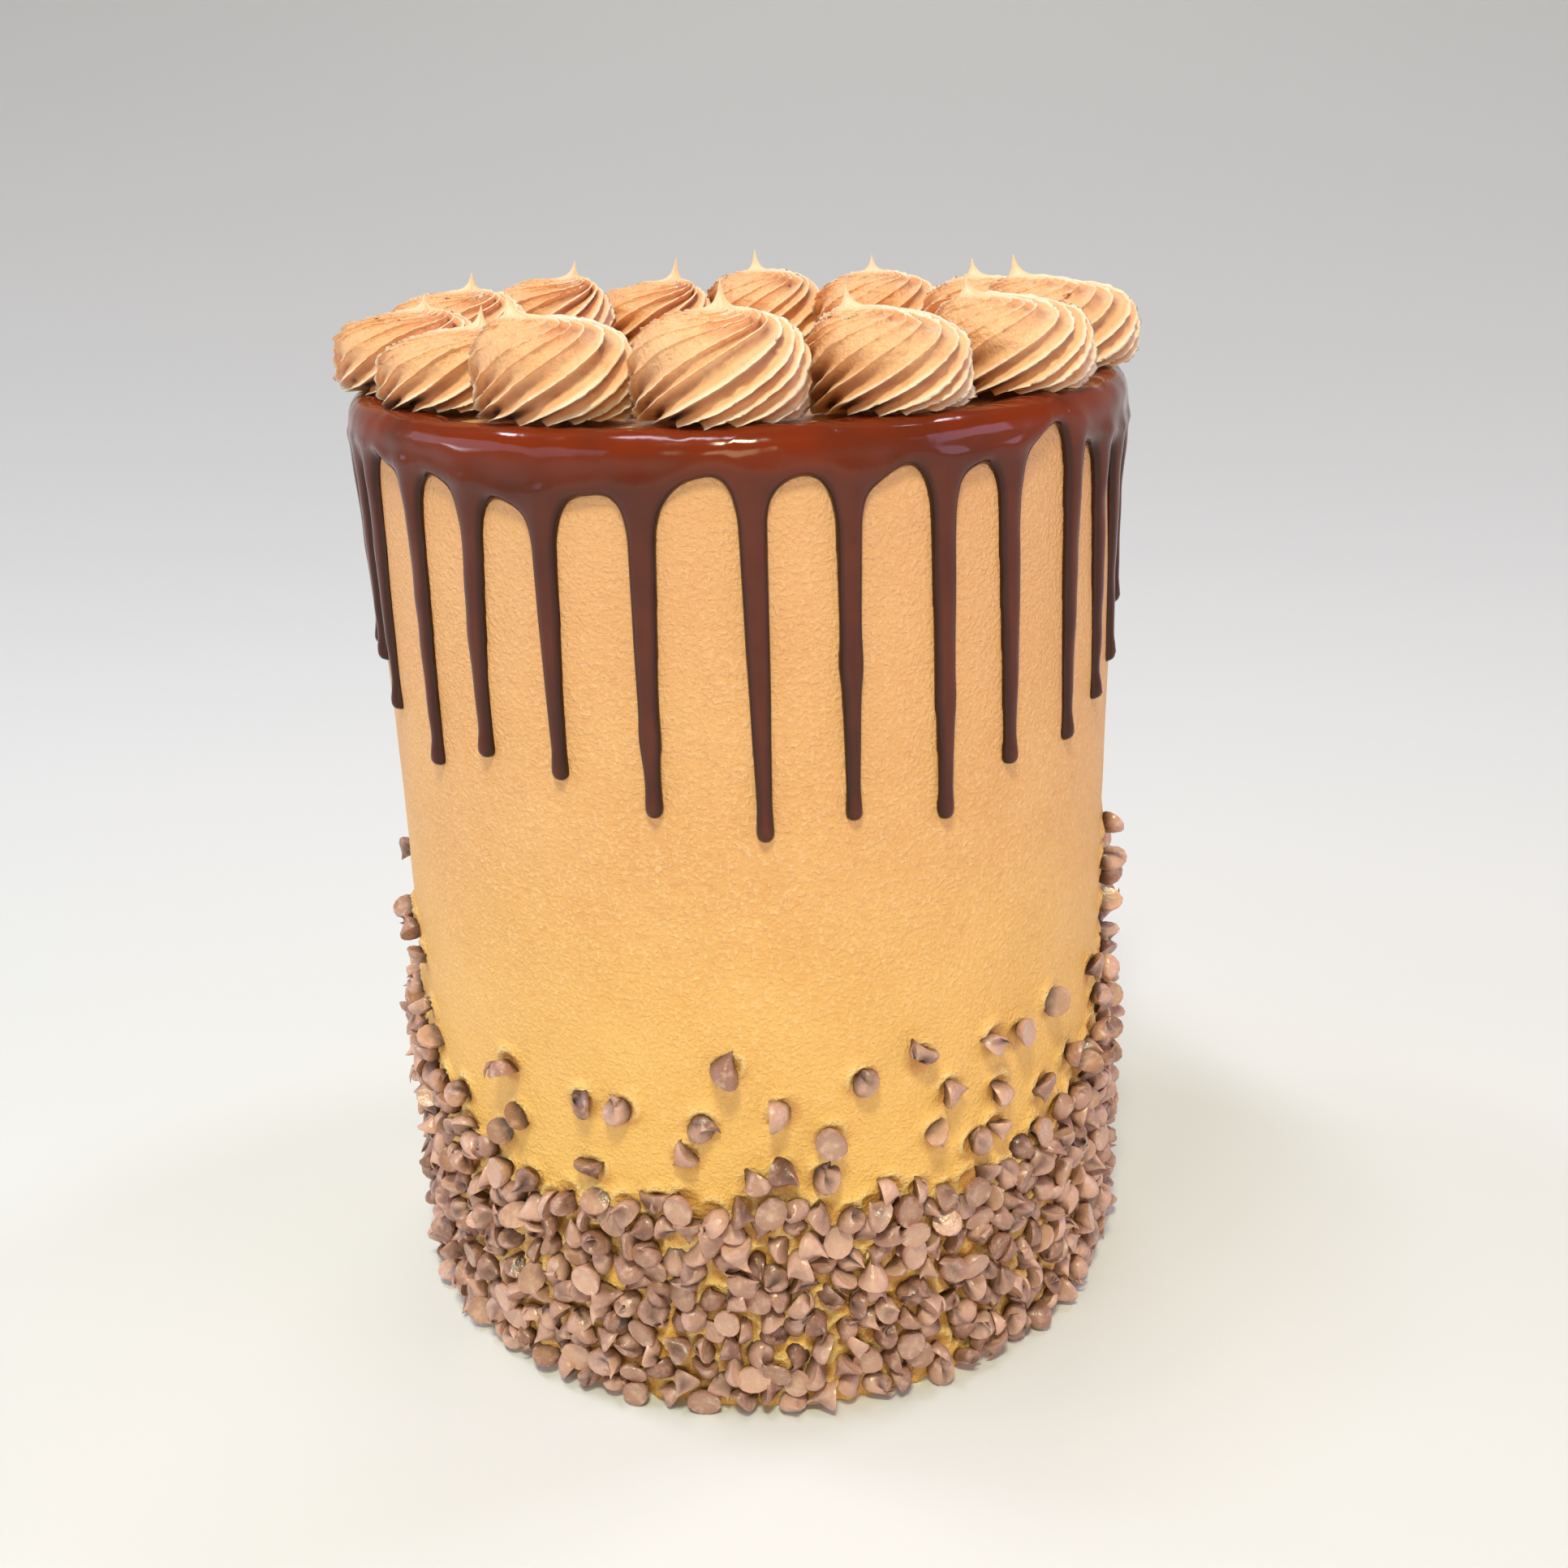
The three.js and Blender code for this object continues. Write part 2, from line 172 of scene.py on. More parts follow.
PIT_MARGINS = (12, 16)  # rows without them at the foot and at the tip

# ---- Chocolate chips ----
CHIP_RADIUS = 3.4
CHIP_HEIGHT = 5.7
CHIP_SIDES = 13
CHIP_PROFILE = [(0.94, 0), (1.0, 0.1), (0.9, 0.31), (0.62, 0.53), (0.31, 0.75), (0.12, 0.96)]
CHIP_TIP = 1.1
CHIP_SHAPES = 40  # how many differ
CHIP_SIZES = (0.93, 1.12)
CHIP_SQUASH = 0.14  # how far from round
CHIP_TALLNESS = (0.78, 1.22)
CHIP_CREASES = (0.1, 0.8)  # shares of the radius
CHIP_TWIST = 1.5  # radians that the crease turns, base to tip
CHIP_DENT = 0.5
CHIP_CURL = 2.2  # radians, the most that a tip bends over
CHIP_HINGE = 0.35  # share of the height where it starts to bend
CHIP_TILT = 0.22
CHIP_SHARP = 55  # degrees: edges sharper than this stay sharp
# How far out a chip's tip points, to how far sideways, for each way of lying.
CHIP_LIFTS = {"base": (-6, -2.5), "tip": (1.2, 5), "side": (-0.5, 0.75)}
CHIP_KINDS = (0.14, 0.34)  # packed chips up to the first share show the base, to the second the tip
CHIP_AREA = 33  # one chip to this many square millimetres in the band
CHIP_PACKED = 6.0  # nearest two chips come, centre to centre
CHIP_DRAWS = 40  # places to choose from for each packed chip
CHIP_JITTER = 1.5
CHIP_ROUNDS = 24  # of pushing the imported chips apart
CHIP_DEPTHS = (1.5, 3.7)  # how far a packed chip's centre stands out of the side
LOOSE_DEPTH = 1.9  # the same for a loose chip
FOLD_SHADE = 1.6  # shade in a fold, to its depth as a share of the radius
CHIP_SHADE_DEPTHS = (0.4, 3.6)  # a chip is darkest below the first and unshaded above the second
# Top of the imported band: angle, height.
BAND_TOP = [
    (-70, 70), (-57, 58), (-49, 55), (-38, 51), (-31, 51), (-21, 53), (-14, 56), (-8, 54), (0, 55),
    (6.5, 52), (15, 52), (21, 51), (28, 50), (37, 51), (46, 53), (53, 58), (61.5, 63), (70, 70),
]
BACK_BAND_TOP = 68
BAND_LIMIT = 80  # above the whole band
BACK_ANGLES = (64, 296)  # the side that isn't in view
BACK_LOOSE_CHIPS = 84
LOOSE_GAP = 3  # between the band and the lowest loose chip
LOOSE_REACH = 42  # how far above that the loose chips reach
LOOSE_THINNING = 1.8
# Loose chips in view, by their pixels in the photograph.
LOOSE_CHIP_PIXELS = [
    (627, 1306), (575, 1339), (717, 1355), (770, 1364), (640, 1372), (622, 1390), (863, 1380),
    (845, 1420), (733, 1434), (895, 1310), (963, 1367), (1022, 1400), (1060, 1327), (1131, 1297),
    (1169, 1340), (1152, 1392), (1222, 1278), (1251, 1268), (1293, 1229), (1229, 1337),
    (1279, 1337), (1310, 1294), (1223, 1386), (1197, 1402), (968, 1441), (1012, 1446),
    (930, 1457), (1231, 1440), (1272, 1390), (1094, 1460), (1131, 1460), (1341, 1190),
    (535, 1270), (1330, 1318), (1363, 1150), (1366, 1113), (1365, 1055),
]
DISC_PIXELS = [(1022, 1400), (1251, 1268), (1310, 1294), (1272, 1390)]  # flat base to the front

# ---- Finishes: tones are sRGB, 0 to 255 ----
FROSTING_TONES = ((241, 183, 112), (235, 174, 103), (214, 144, 80))  # main, mottled, freckles
ROSETTE_TONES = ((244, 189, 139), (236, 177, 125), (214, 151, 102))
CREST_HIGHLIGHT_TONE = (255, 238, 212)  # painted highlight: the thin crests are painted pale for the light they catch and let through
# painted shade in the valleys between the crests
VALLEY_SHADE_TONE = (156, 90, 54)
FOOT_SHADE_TONE = (72, 38, 22)  # painted shade deep between the ridges at the foot
GRAIN_TONE = (255, 214, 160)  # pale grain of the smooth frosting
UPPER_SHADE_TONE = (234, 174, 126)  # painted shade: a little darker and pinker towards the top
LOWER_LIGHT_TONE = (255, 203, 106)  # painted warm light: lighter and yellower towards the foot
SHADE_TONE = (184, 100, 40)  # under and between the chips
RAISED_HIGHLIGHT_TONE = (255, 224, 150)  # painted highlight where a chip has pushed it up; it is also glossier there
GANACHE_TONES = ((100, 43, 24), (82, 35, 21))
# painted light: redder where the ganache bends over the top to face the light above
GANACHE_TOP_LIGHT_TONE = (124, 44, 16)
# painted shade along the ganache's rounded edges
GANACHE_EDGE_SHADE_TONE = (48, 20, 10)
CHIP_TONES = ((150, 104, 86), (220, 172, 150))  # darkest and palest chip
CHIP_BLOOM_TONE = (236, 202, 184)
CHIP_BASE_TONE = (228, 190, 158)
CHIP_SHADE_TONE = (54, 25, 13)  # in its folds and deep in the band
MOTTLE_SIZE = 22
FRECKLE_SIZE = 1.8
GRAIN_SIZE = 0.9
GRAIN_DEPTH = 0.6
SCRAPE_SIZE = 1.6  # across the level marks of the scraper
SCRAPE_DEPTH = 0.2
SCRAPE_STRETCH = (0.12, 0.12, 1)  # they are long round the cake
MIX_INPUTS = (0, 6, 7)  # share, first and second colour of a mix node
MIX_RESULT = 2

# ---- Studio: metres and watts ----
FLOOR_COLOUR = (0.77, 0.765, 0.757, 1)
FLOOR_RADIUS = 0.7  # where the floor starts to climb into the wall
WALL_REACH = 3.0
WALL_HEIGHT = 2.6
WALL_CURVE = 2.4
AIM_HEIGHT = 0.12  # every light looks at the middle of the cake
SKY_COLOUR = (0.9, 0.92, 1.0, 1)
SKY_STRENGTH = 0.1
# Soft boxes: name, place, width, height, power, colour.
LIGHTS = [
    ("top", (-0.37, -0.15, 1.9), 0.8, 0.18, 8.2, (0.82, 0.82, 1.0)),
    ("top_left", (-1.0, 0.45, 1.65), 0.3, 0.2, 4.8, (0.82, 0.82, 1.0)),
    ("top_right", (0.8, 0.3, 1.7), 0.3, 0.2, 4.8, (0.82, 0.82, 1.0)),
    ("key", (-0.05, -0.98, 1.7), 0.35, 0.25, 20.8, (0.98, 1.0, 0.7)),
    ("panel_right", (1.4, -0.6, 0.75), 0.9, 0.6, 4.8, (0.8, 0.62, 1.0)),
    ("panel_left", (-1.35, -0.32, 0.75), 1.7, 0.6, 5.6, (0.62, 0.7, 1.0)),
    ("glint_left", (-1.3, -0.1, 0.45), 0.25, 0.1, 0.7, (0.8, 0.88, 1.0)),
    ("front", (-0.1, -1.7, 0.95), 0.8, 0.35, 4.5, (1.0, 0.88, 0.52)),
    ("back", (0.3, 2.6, 1.9), 1.6, 0.9, 14.5, (1.0, 0.96, 0.9)),
]

# Where each row of random draws starts.
SEEDS = {"band": 21, "loose": 8, "chips": 4, "marks": 14, "drips": 5, "arches": 9, "ganache": 12,
         "rosettes": 40}


# ---- Helpers ----
def smoothstep(value, start, end):
    share = np.clip((value - start) / (end - start), 0, 1)
    return share * share * (3 - 2 * share)


def seeded(kind):
    return np.random.default_rng(SEEDS[kind])


def turned(angle):
    """An angle brought between -180 and 180 degrees."""
    return (angle + 180) % 360 - 180


def shorter_way(distance):
    """A distance along the side, brought within half the girth to either side."""
    return (distance + GIRTH / 2) % GIRTH - GIRTH / 2


def around(angle, radius, height):
    """Points round the cake's axis."""
    turn = np.radians(angle)
    return np.stack([radius * np.sin(turn), -radius * np.cos(turn), height + 0 * turn], axis=-1)


def waves(points, wavelength, seed, count=14):
    """Smooth noise of about -1 to 1: seeded plane waves in random directions."""
    rng = np.random.default_rng(seed)
    total = np.zeros(points.shape[:-1])
    for _ in range(count):
        direction = rng.normal(size=points.shape[-1])
        direction *= math.tau / (wavelength * rng.uniform(0.7, 1.5) * np.linalg.norm(direction))
        total += np.sin(points @ direction + rng.uniform(0, math.tau))
    return total / math.sqrt(count)


def uneven(points, rows):
    return sum(height * waves(points, wavelength, seed) for height, wavelength, seed in rows)


def grid_faces(rows, columns):
    """Quads of a grid that closes on itself along its columns."""
    row = np.arange(rows - 1)[:, None] * columns
    column = np.arange(columns)[None, :]
    beside = (column + 1) % columns
    corners = [row + column, row + beside, row + columns + beside, row + columns + column]
    return np.stack(corners, axis=-1).reshape(-1, 4)


def fan_faces(start, columns, centre, up):
    """Triangles from a ring of points to one centre point."""
    column = np.arange(columns)
    beside = (column + 1) % columns
    ring = [start + column, start + beside] if up else [start + beside, start + column]
    return np.stack([*ring, np.full(columns, centre)], axis=-1)


def closed_faces(rows, columns):
    """Faces of a grid and of the two points after it, that close its last row and its first."""
    count = rows * columns
    tip = fan_faces(count - columns, columns, count, True)
    foot = fan_faces(0, columns, count + 1, False)
    return [grid_faces(rows, columns), tip, foot]


def new_object(name, points, faces, material):
    """Makes a smoothly shaded mesh object of points in metres."""
    mesh = bpy.data.meshes.new(name)
    mesh.from_pydata(points.tolist(), [], [face for block in faces for face in block.tolist()])
    mesh.validate()
    mesh.polygons.foreach_set("use_smooth", [True] * len(mesh.polygons))
    mesh.materials.append(material)
    made = bpy.data.objects.new(name, mesh)
    bpy.context.scene.collection.objects.link(made)
    return made


def stand(thing, right, up, back, place):
    """Stands a camera or a light at a place in metres, turned to three directions."""
    axes = np.eye(4)
    axes[:3] = np.stack([right, up, back, place], axis=-1)
    thing.matrix_world = Matrix(axes.tolist())
    bpy.context.scene.collection.objects.link(thing)


def add_piece(name, points, faces, material, node):
    """Makes a mesh object of points in millimetres and fits it into the frame."""
    piece = new_object(name, points * MM, faces, material)
    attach(piece, "root")
    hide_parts(node)
    return piece


def point_values(piece, name, values):
    """Keeps one number for every point of a mesh, for its material."""
    attribute = piece.data.attributes.new(name, "FLOAT", "POINT")
    attribute.data.foreach_set("value", values)


# ---- Camera ----
def camera_axes():
    """Right, up and forward of the camera, from its yaw, pitch and roll."""
    yaw, pitch, roll = (math.radians(turn) for turn in (CAMERA_YAW, CAMERA_PITCH, CAMERA_ROLL))
    forward = np.array([
        math.sin(yaw) * math.cos(pitch), math.cos(yaw) * math.cos(pitch), -math.sin(pitch),
    ])
    level = np.array([math.cos(yaw), -math.sin(yaw), 0])
    above = np.cross(level, forward)
    right = math.cos(roll) * level + math.sin(roll) * above
    up = -math.sin(roll) * level + math.cos(roll) * above
    return right, up, forward


def side_place(pixel):
    """Angle and height where a pixel's line of sight first meets the side of the cake."""
    right, up, forward = camera_axes()
    half = PHOTO_SIZE / 2
    ray = forward + right * (pixel[0] - half) / FOCAL_PIXELS + up * (half - pixel[1]) / FOCAL_PIXELS
    a = ray[0] ** 2 + ray[1] ** 2
    b = CAMERA_PLACE[0] * ray[0] + CAMERA_PLACE[1] * ray[1]
    c = CAMERA_PLACE[0] ** 2 + CAMERA_PLACE[1] ** 2 - CAKE_RADIUS ** 2
    reach = (-b - math.sqrt(max(0, b * b - a * c))) / a
    hit = CAMERA_PLACE + reach * ray
    return math.degrees(math.atan2(hit[0], -hit[1])), hit[2]


def add_camera():
    right, up, forward = camera_axes()
    data = bpy.data.cameras.new("camera")
    data.sensor_width = SENSOR
    data.lens = SENSOR * FOCAL_PIXELS / PHOTO_SIZE
    data.clip_start = 0.01
    camera = bpy.data.objects.new("camera", data)
    stand(camera, right, up, -forward, CAMERA_PLACE * MM)
    bpy.context.scene.camera = camera


# ---- Materials ----
def add_node(tree, kind, inputs=None, **settings):
    """Adds a node, sets its settings, and sets or links its inputs."""
    node = tree.nodes.new(kind)
    for key, value in settings.items():
        setattr(node, key, value)
    for key, value in (inputs or {}).items():
        if isinstance(value, bpy.types.NodeSocket):
            tree.links.new(value, node.inputs[key])
        else:
            node.inputs[key].default_value = value
    return node


def linear(red, green, blue):
    """An sRGB colour of 0 to 255 as the linear colour that a shader takes."""
    share = np.array([red, green, blue]) / 255
    value = np.where(share <= 0.04045, share / 12.92, ((share + 0.055) / 1.055) ** 2.4)
    return (*value.tolist(), 1)


def new_material(name, **shader_values):
    material = bpy.data.materials.new(name)
    material.use_nodes = True
    tree = material.node_tree
    shader = tree.nodes["Principled BSDF"]
    for key, value in shader_values.items():
        shader.inputs[key.replace("_", " ")].default_value = value
    place = add_node(tree, "ShaderNodeTexCoord").outputs["Object"]
    return material, tree, shader, place


def noise(tree, place, size, detail=3.0, roughness=0.5):
    """A noise texture whose features are about a size in millimetres."""
    return add_node(tree, "ShaderNodeTexNoise", {
        "Vector": place, "Scale": 1 / (size * MM), "Detail": detail, "Roughness": roughness,
    }).outputs["Fac"]


def ranged(tree, value, low, high, to_low=0.0, to_high=1.0):
    return add_node(tree, "ShaderNodeMapRange", {
        "Value": value, "From Min": low, "From Max": high, "To Min": to_low, "To Max": to_high,
    }).outputs["Result"]


def mixed(tree, share, first, second):
    """Mixes two colours."""
    mix = add_node(tree, "ShaderNodeMix", data_type="RGBA")
    for socket, value in zip(MIX_INPUTS, (share, first, second)):
        if isinstance(value, bpy.types.NodeSocket):
            tree.links.new(value, mix.inputs[socket])
        else:
            mix.inputs[socket].default_value = value
    return mix.outputs[MIX_RESULT]


def bumped(tree, height, strength, depth, normal=None):
    """A bump of a depth in millimetres."""
    inputs = {"Height": height, "Strength": strength, "Distance": depth * MM}
    if normal is not None:
        inputs["Normal"] = normal
    return add_node(tree, "ShaderNodeBump", inputs).outputs["Normal"]


def point_value(tree, name):
    """Reads one of the numbers kept for every point of a mesh."""
    return add_node(tree, "ShaderNodeAttribute", attribute_name=name).outputs["Fac"]


def layered(tree, colour, layers):
    """Lays tones over a colour, each by its own share."""
    for share, tone in layers:
        colour = mixed(tree, share, colour, linear(*tone))
    return colour


def connect(tree, shader, colour, roughness, normal):
    for name, value in (("Base Color", colour), ("Roughness", roughness), ("Normal", normal)):
        tree.links.new(value, shader.inputs[name])


def mottled_cream(name, tones, **shader_values):
    """Buttercream with slow mottling and small freckles. Its fine grain is returned last."""
    material, tree, shader, place = new_material(name, Specular_IOR_Level=0.4, **shader_values)
    main, mottle, freckle = tones
    colour = layered(tree, linear(*main), [
        (ranged(tree, noise(tree, place, MOTTLE_SIZE, 3), 0.35, 0.65), mottle),
        (ranged(tree, noise(tree, place, FRECKLE_SIZE, 2), 0.52, 0.75, 0, 0.55), freckle),
    ])
    return material, tree, shader, place, colour, noise(tree, place, GRAIN_SIZE, 2, 0.6)


def smooth_frosting():
    """The side and top: grainy, with scraped level marks, raised round the chips, with painted shade
    round them and a painted highlight where they push it up, painted shade towards the top and
    painted warm light towards the foot.
    """
    material, tree, shader, place, colour, fine = mottled_cream("buttercream", FROSTING_TONES)
    height = add_node(tree, "ShaderNodeSeparateXYZ", {"Vector": place}).outputs["Z"]
    tall = CAKE_HEIGHT * MM
    raised = point_value(tree, "raised")
    colour = layered(tree, colour, [
        (ranged(tree, fine, 0.52, 0.68, 0, 0.6), GRAIN_TONE),
        # painted shade towards the top
        (ranged(tree, height, 0.5 * tall, 0.9 * tall, 0, 0.6), UPPER_SHADE_TONE),
        # painted warm light towards the foot
        (ranged(tree, height, 0.6 * tall, 0.2 * tall, 0, 0.8), LOWER_LIGHT_TONE),
        (ranged(tree, point_value(tree, "shade"), 0.2, 1, 0, 0.5), SHADE_TONE),
        # painted highlight where a chip has pushed it up
        (ranged(tree, raised, 0.35, 1, 0, 0.8), RAISED_HIGHLIGHT_TONE),
    ])
    stretch = add_node(tree, "ShaderNodeMapping", {"Vector": place, "Scale": SCRAPE_STRETCH})
    scraped = noise(tree, stretch.outputs["Vector"], SCRAPE_SIZE, 2)
    grain = bumped(tree, scraped, 0.4, SCRAPE_DEPTH, bumped(tree, fine, 1, GRAIN_DEPTH))
    connect(tree, shader, colour, ranged(tree, raised, 0.2, 0.7, 0.5, 0.24), grain)
    return material


def piped_cream():
    """The rosettes: a painted highlight along the thin crests, painted shade in the valleys, and the
    darkest painted shade deep between the ridges at the foot.
    """
    material, tree, shader, _, colour, fine = mottled_cream(
        "rosette_cream", ROSETTE_TONES, Subsurface_Weight=0.1, Subsurface_Scale=1.5 * MM,
        Subsurface_Radius=(1.0, 0.45, 0.2))
    crest = point_value(tree, "crest")
    patch = point_value(tree, "patch")
    colour = layered(tree, colour, [
        # painted highlight along the crests
        (ranged(tree, crest, 0.62, 1), CREST_HIGHLIGHT_TONE),
        # painted shade in the valleys
        (ranged(tree, crest, 0.35, 0, 0, 0.7), VALLEY_SHADE_TONE),
        # darkest painted shade deep between the ridges at the foot
        (ranged(tree, point_value(tree, "low"), 0.1, 0.9, 0, 0.95), FOOT_SHADE_TONE),
    ])
    grain = bumped(tree, fine, ranged(tree, patch, 0, 1, 0.3, 1), GRAIN_DEPTH)
    connect(tree, shader, colour, ranged(tree, patch, 0, 1, 0.5, 0.3), grain)
    return material


def glossy_ganache():
    """Dark chocolate, with painted light that makes it redder where it bends over the top, and
    painted shade along its edges.
    """
    material, tree, shader, place = new_material("ganache", Specular_IOR_Level=0.33)
    cloudy = ranged(tree, noise(tree, place, 14, 4), 0.3, 0.7)
    height = add_node(tree, "ShaderNodeSeparateXYZ", {"Vector": place}).outputs["Z"]
    # painted light: redder in patches near the top bend
    near_top = ranged(tree, height, (CAKE_HEIGHT - 9) * MM, (CAKE_HEIGHT - 1) * MM)
    patchy = ranged(tree, noise(tree, place, 20, 2), 0.35, 0.6, 0.35, 1)
    red = add_node(tree, "ShaderNodeMath", {0: near_top, 1: patchy}, operation="MULTIPLY")
    # painted shade along the edges
    edge = ranged(tree, point_value(tree, "edge"), 0.35 * EDGE_SHADE_WIDTH, EDGE_SHADE_WIDTH, 0.85, 0)
    light, dark = GANACHE_TONES
    colour = layered(tree, linear(*light), [
        (cloudy, dark), (red.outputs["Value"], GANACHE_TOP_LIGHT_TONE), (edge, GANACHE_EDGE_SHADE_TONE),
    ])
    roughness = ranged(tree, noise(tree, place, 7, 3), 0.3, 0.7, 0.08, 0.16)
    connect(tree, shader, colour, roughness, bumped(tree, noise(tree, place, 6, 2), 0.3, 0.15))
    return material


def chip_chocolate():
    """Milk chocolate with a dusty bloom, palest on the flat bases, with painted shade in its folds
    and deep in the band.
    """
    material, tree, shader, place = new_material("chocolate_chips", Specular_IOR_Level=0.6)
    dark, light = CHIP_TONES
    colour = layered(tree, linear(*dark), [
        (point_value(tree, "tint"), light),
        (ranged(tree, noise(tree, place, 2.2, 4), 0.5, 0.7, 0, 0.5), CHIP_BLOOM_TONE),
        (ranged(tree, point_value(tree, "base"), 0.65, 1, 0, 0.4), CHIP_BASE_TONE),
        (ranged(tree, point_value(tree, "shade"), 0, 0.9, 0, 0.9), CHIP_SHADE_TONE),
    ])
    roughness = ranged(tree, noise(tree, place, 1.5, 3), 0.3, 0.7, 0.18, 0.38)
    connect(tree, shader, colour, roughness, bumped(tree, noise(tree, place, 1.2, 4), 0.6, 0.35))
    return material


# ---- Chips: where they lie ----
def band_top(angle):
    """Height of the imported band's top round the cake."""
    angles = [row[0] for row in BAND_TOP]
    heights = [row[1] for row in BAND_TOP]
    angles += [angles[-1] + 30, angles[0] + 330, angles[0] + 360]
    heights += [BACK_BAND_TOP, BACK_BAND_TOP, heights[0]]
    wave = 2.5 * np.sin(np.radians(7 * angle)) * smoothstep(np.abs(turned(angle)), 70, 100)
    return np.interp((angle - angles[0]) % 360 + angles[0], angles, heights) + wave


def packed_places(fixed):
    """Packs chips into the band: places far from each other, then pushed evenly apart."""
    rng = seeded("band")
    area = GIRTH * (np.mean(band_top(np.arange(-180, 180, 3.0))) - 2)
    count = int(area / CHIP_AREA)
    along = rng.uniform(-GIRTH / 2, GIRTH / 2, CHIP_DRAWS * count)
    height = rng.uniform(CHIP_RADIUS, BAND_LIMIT, CHIP_DRAWS * count)
    inside = height < band_top(along / DEGREE)
    draws = np.stack([along[inside], height[inside]], axis=1)
    room = np.full(len(draws), np.inf)
    chosen = []
    for _ in range(count):
        best = int(np.argmax(room + rng.uniform(0, CHIP_JITTER, len(room))))
        away = np.abs(draws - draws[best])
        away[:, 0] = np.minimum(away[:, 0], GIRTH - away[:, 0])
        room = np.minimum(room, np.hypot(*away.T))
        chosen.append(best)
    place = np.column_stack([draws[chosen], rng.uniform(*CHIP_DEPTHS, count)])
    for _ in range(CHIP_ROUNDS):
        everything = np.concatenate([place, fixed])
        away = place[:, None, :] - everything[None, :, :]
        away[..., 0] = shorter_way(away[..., 0])
        gap = np.linalg.norm(away, axis=-1)
        push = np.where((gap > 1e-6) & (gap < CHIP_PACKED), (CHIP_PACKED - gap) / 2, 0)
        place += (away * (push / np.maximum(gap, 1e-6))[..., None]).sum(axis=1) * 0.5
        top = band_top(place[:, 0] / DEGREE)
        place[:, 1] = np.clip(place[:, 1], CHIP_RADIUS * 0.92, top)
        place[:, 2] = np.clip(place[:, 2], *CHIP_DEPTHS)
    return place


def loose_places():
    """The loose chips in view, then others spread round the back, thinning out upwards."""
    rng = seeded("loose")
    rows = []
    kinds = []
    for pixel in LOOSE_CHIP_PIXELS:
        angle, height = side_place(pixel)
        rows.append((angle * DEGREE, height, LOOSE_DEPTH))
        kinds.append("base" if pixel in DISC_PIXELS else "side")
    while len(rows) < len(LOOSE_CHIP_PIXELS) + BACK_LOOSE_CHIPS:
        angle = rng.uniform(*BACK_ANGLES)
        above = LOOSE_GAP + LOOSE_REACH * rng.uniform() ** LOOSE_THINNING
        row = (turned(angle) * DEGREE, band_top(angle) + above, LOOSE_DEPTH)
        if min(math.dist(row[:2], other[:2]) for other in rows) > CHIP_PACKED:
            rows.append(row)
            kinds.append("side")
    return np.array(rows), kinds


# ---- Chips: their shape ----
def chip_template(rng):
    """One chip, base down, with a curled tip, a twisting crease and a dent, and its folds."""
    turn = math.tau * np.arange(CHIP_SIDES) / CHIP_SIDES
    folds = []
    crease_at = rng.uniform(0, math.tau)
    crease = rng.uniform(*CHIP_CREASES)
    twist = rng.uniform(-CHIP_TWIST, CHIP_TWIST)
    dent_at = crease_at + rng.uniform(1.5, 4.5)
    dent = rng.uniform(0, CHIP_DENT)
    rings = []
    for radius, height in CHIP_PROFILE:
        fold = np.maximum(0, np.cos(turn - crease_at - twist * height)) ** 7
        hollow = np.maximum(0, np.cos(turn - dent_at)) ** 3 * math.sin(math.pi * min(1, height))
        inward = crease * smoothstep(height, 0.05, 0.5) * fold + dent * hollow
        folds.append(inward)
        ring = radius * (1 - inward)
        rings.append(np.stack([ring * np.cos(turn), ring * np.sin(turn), height + 0 * turn], -1))
    points = np.concatenate([*rings, [[0, 0, CHIP_TIP], [0, 0, 0.1]]])
    squash = 1 + rng.uniform(-CHIP_SQUASH, CHIP_SQUASH)
    points[:, 0] *= CHIP_RADIUS * squash
    points[:, 1] *= CHIP_RADIUS / squash
    tall = CHIP_HEIGHT * rng.uniform(*CHIP_TALLNESS)
    points[:, 2] *= tall
    curl = CHIP_CURL * rng.uniform() ** 1.2
    hinge = CHIP_HINGE * tall
    bend = curl * np.clip((points[:, 2] - hinge) / (0.75 * tall), 0, 1)
    reach = np.maximum(points[:, 2] - hinge, 0)
    points[:, 0] += reach * np.sin(bend)
    points[:, 2] = np.where(points[:, 2] > hinge, hinge + reach * np.cos(bend), points[:, 2])
    tilt = rng.uniform(-CHIP_TILT, CHIP_TILT, 2)
    points[:, 2] += points[:, 0] * tilt[0] + points[:, 1] * tilt[1]
    return points - [0, 0, 0.38 * tall], np.concatenate([*folds, [0, 0]])


def chip_facing(kind, out, rng):
    """Axis of a chip from base to tip, for a way of lying."""
    along = np.array([-out[1], out[0], 0])
    turn = rng.uniform(0, math.tau)
    flat = math.cos(turn) * along + math.sin(turn) * np.array([0, 0, 1])
    lifts = {lying: rng.uniform(*span) for lying, span in CHIP_LIFTS.items()}
    axis = flat + lifts[kind] * out
    return axis / np.linalg.norm(axis)


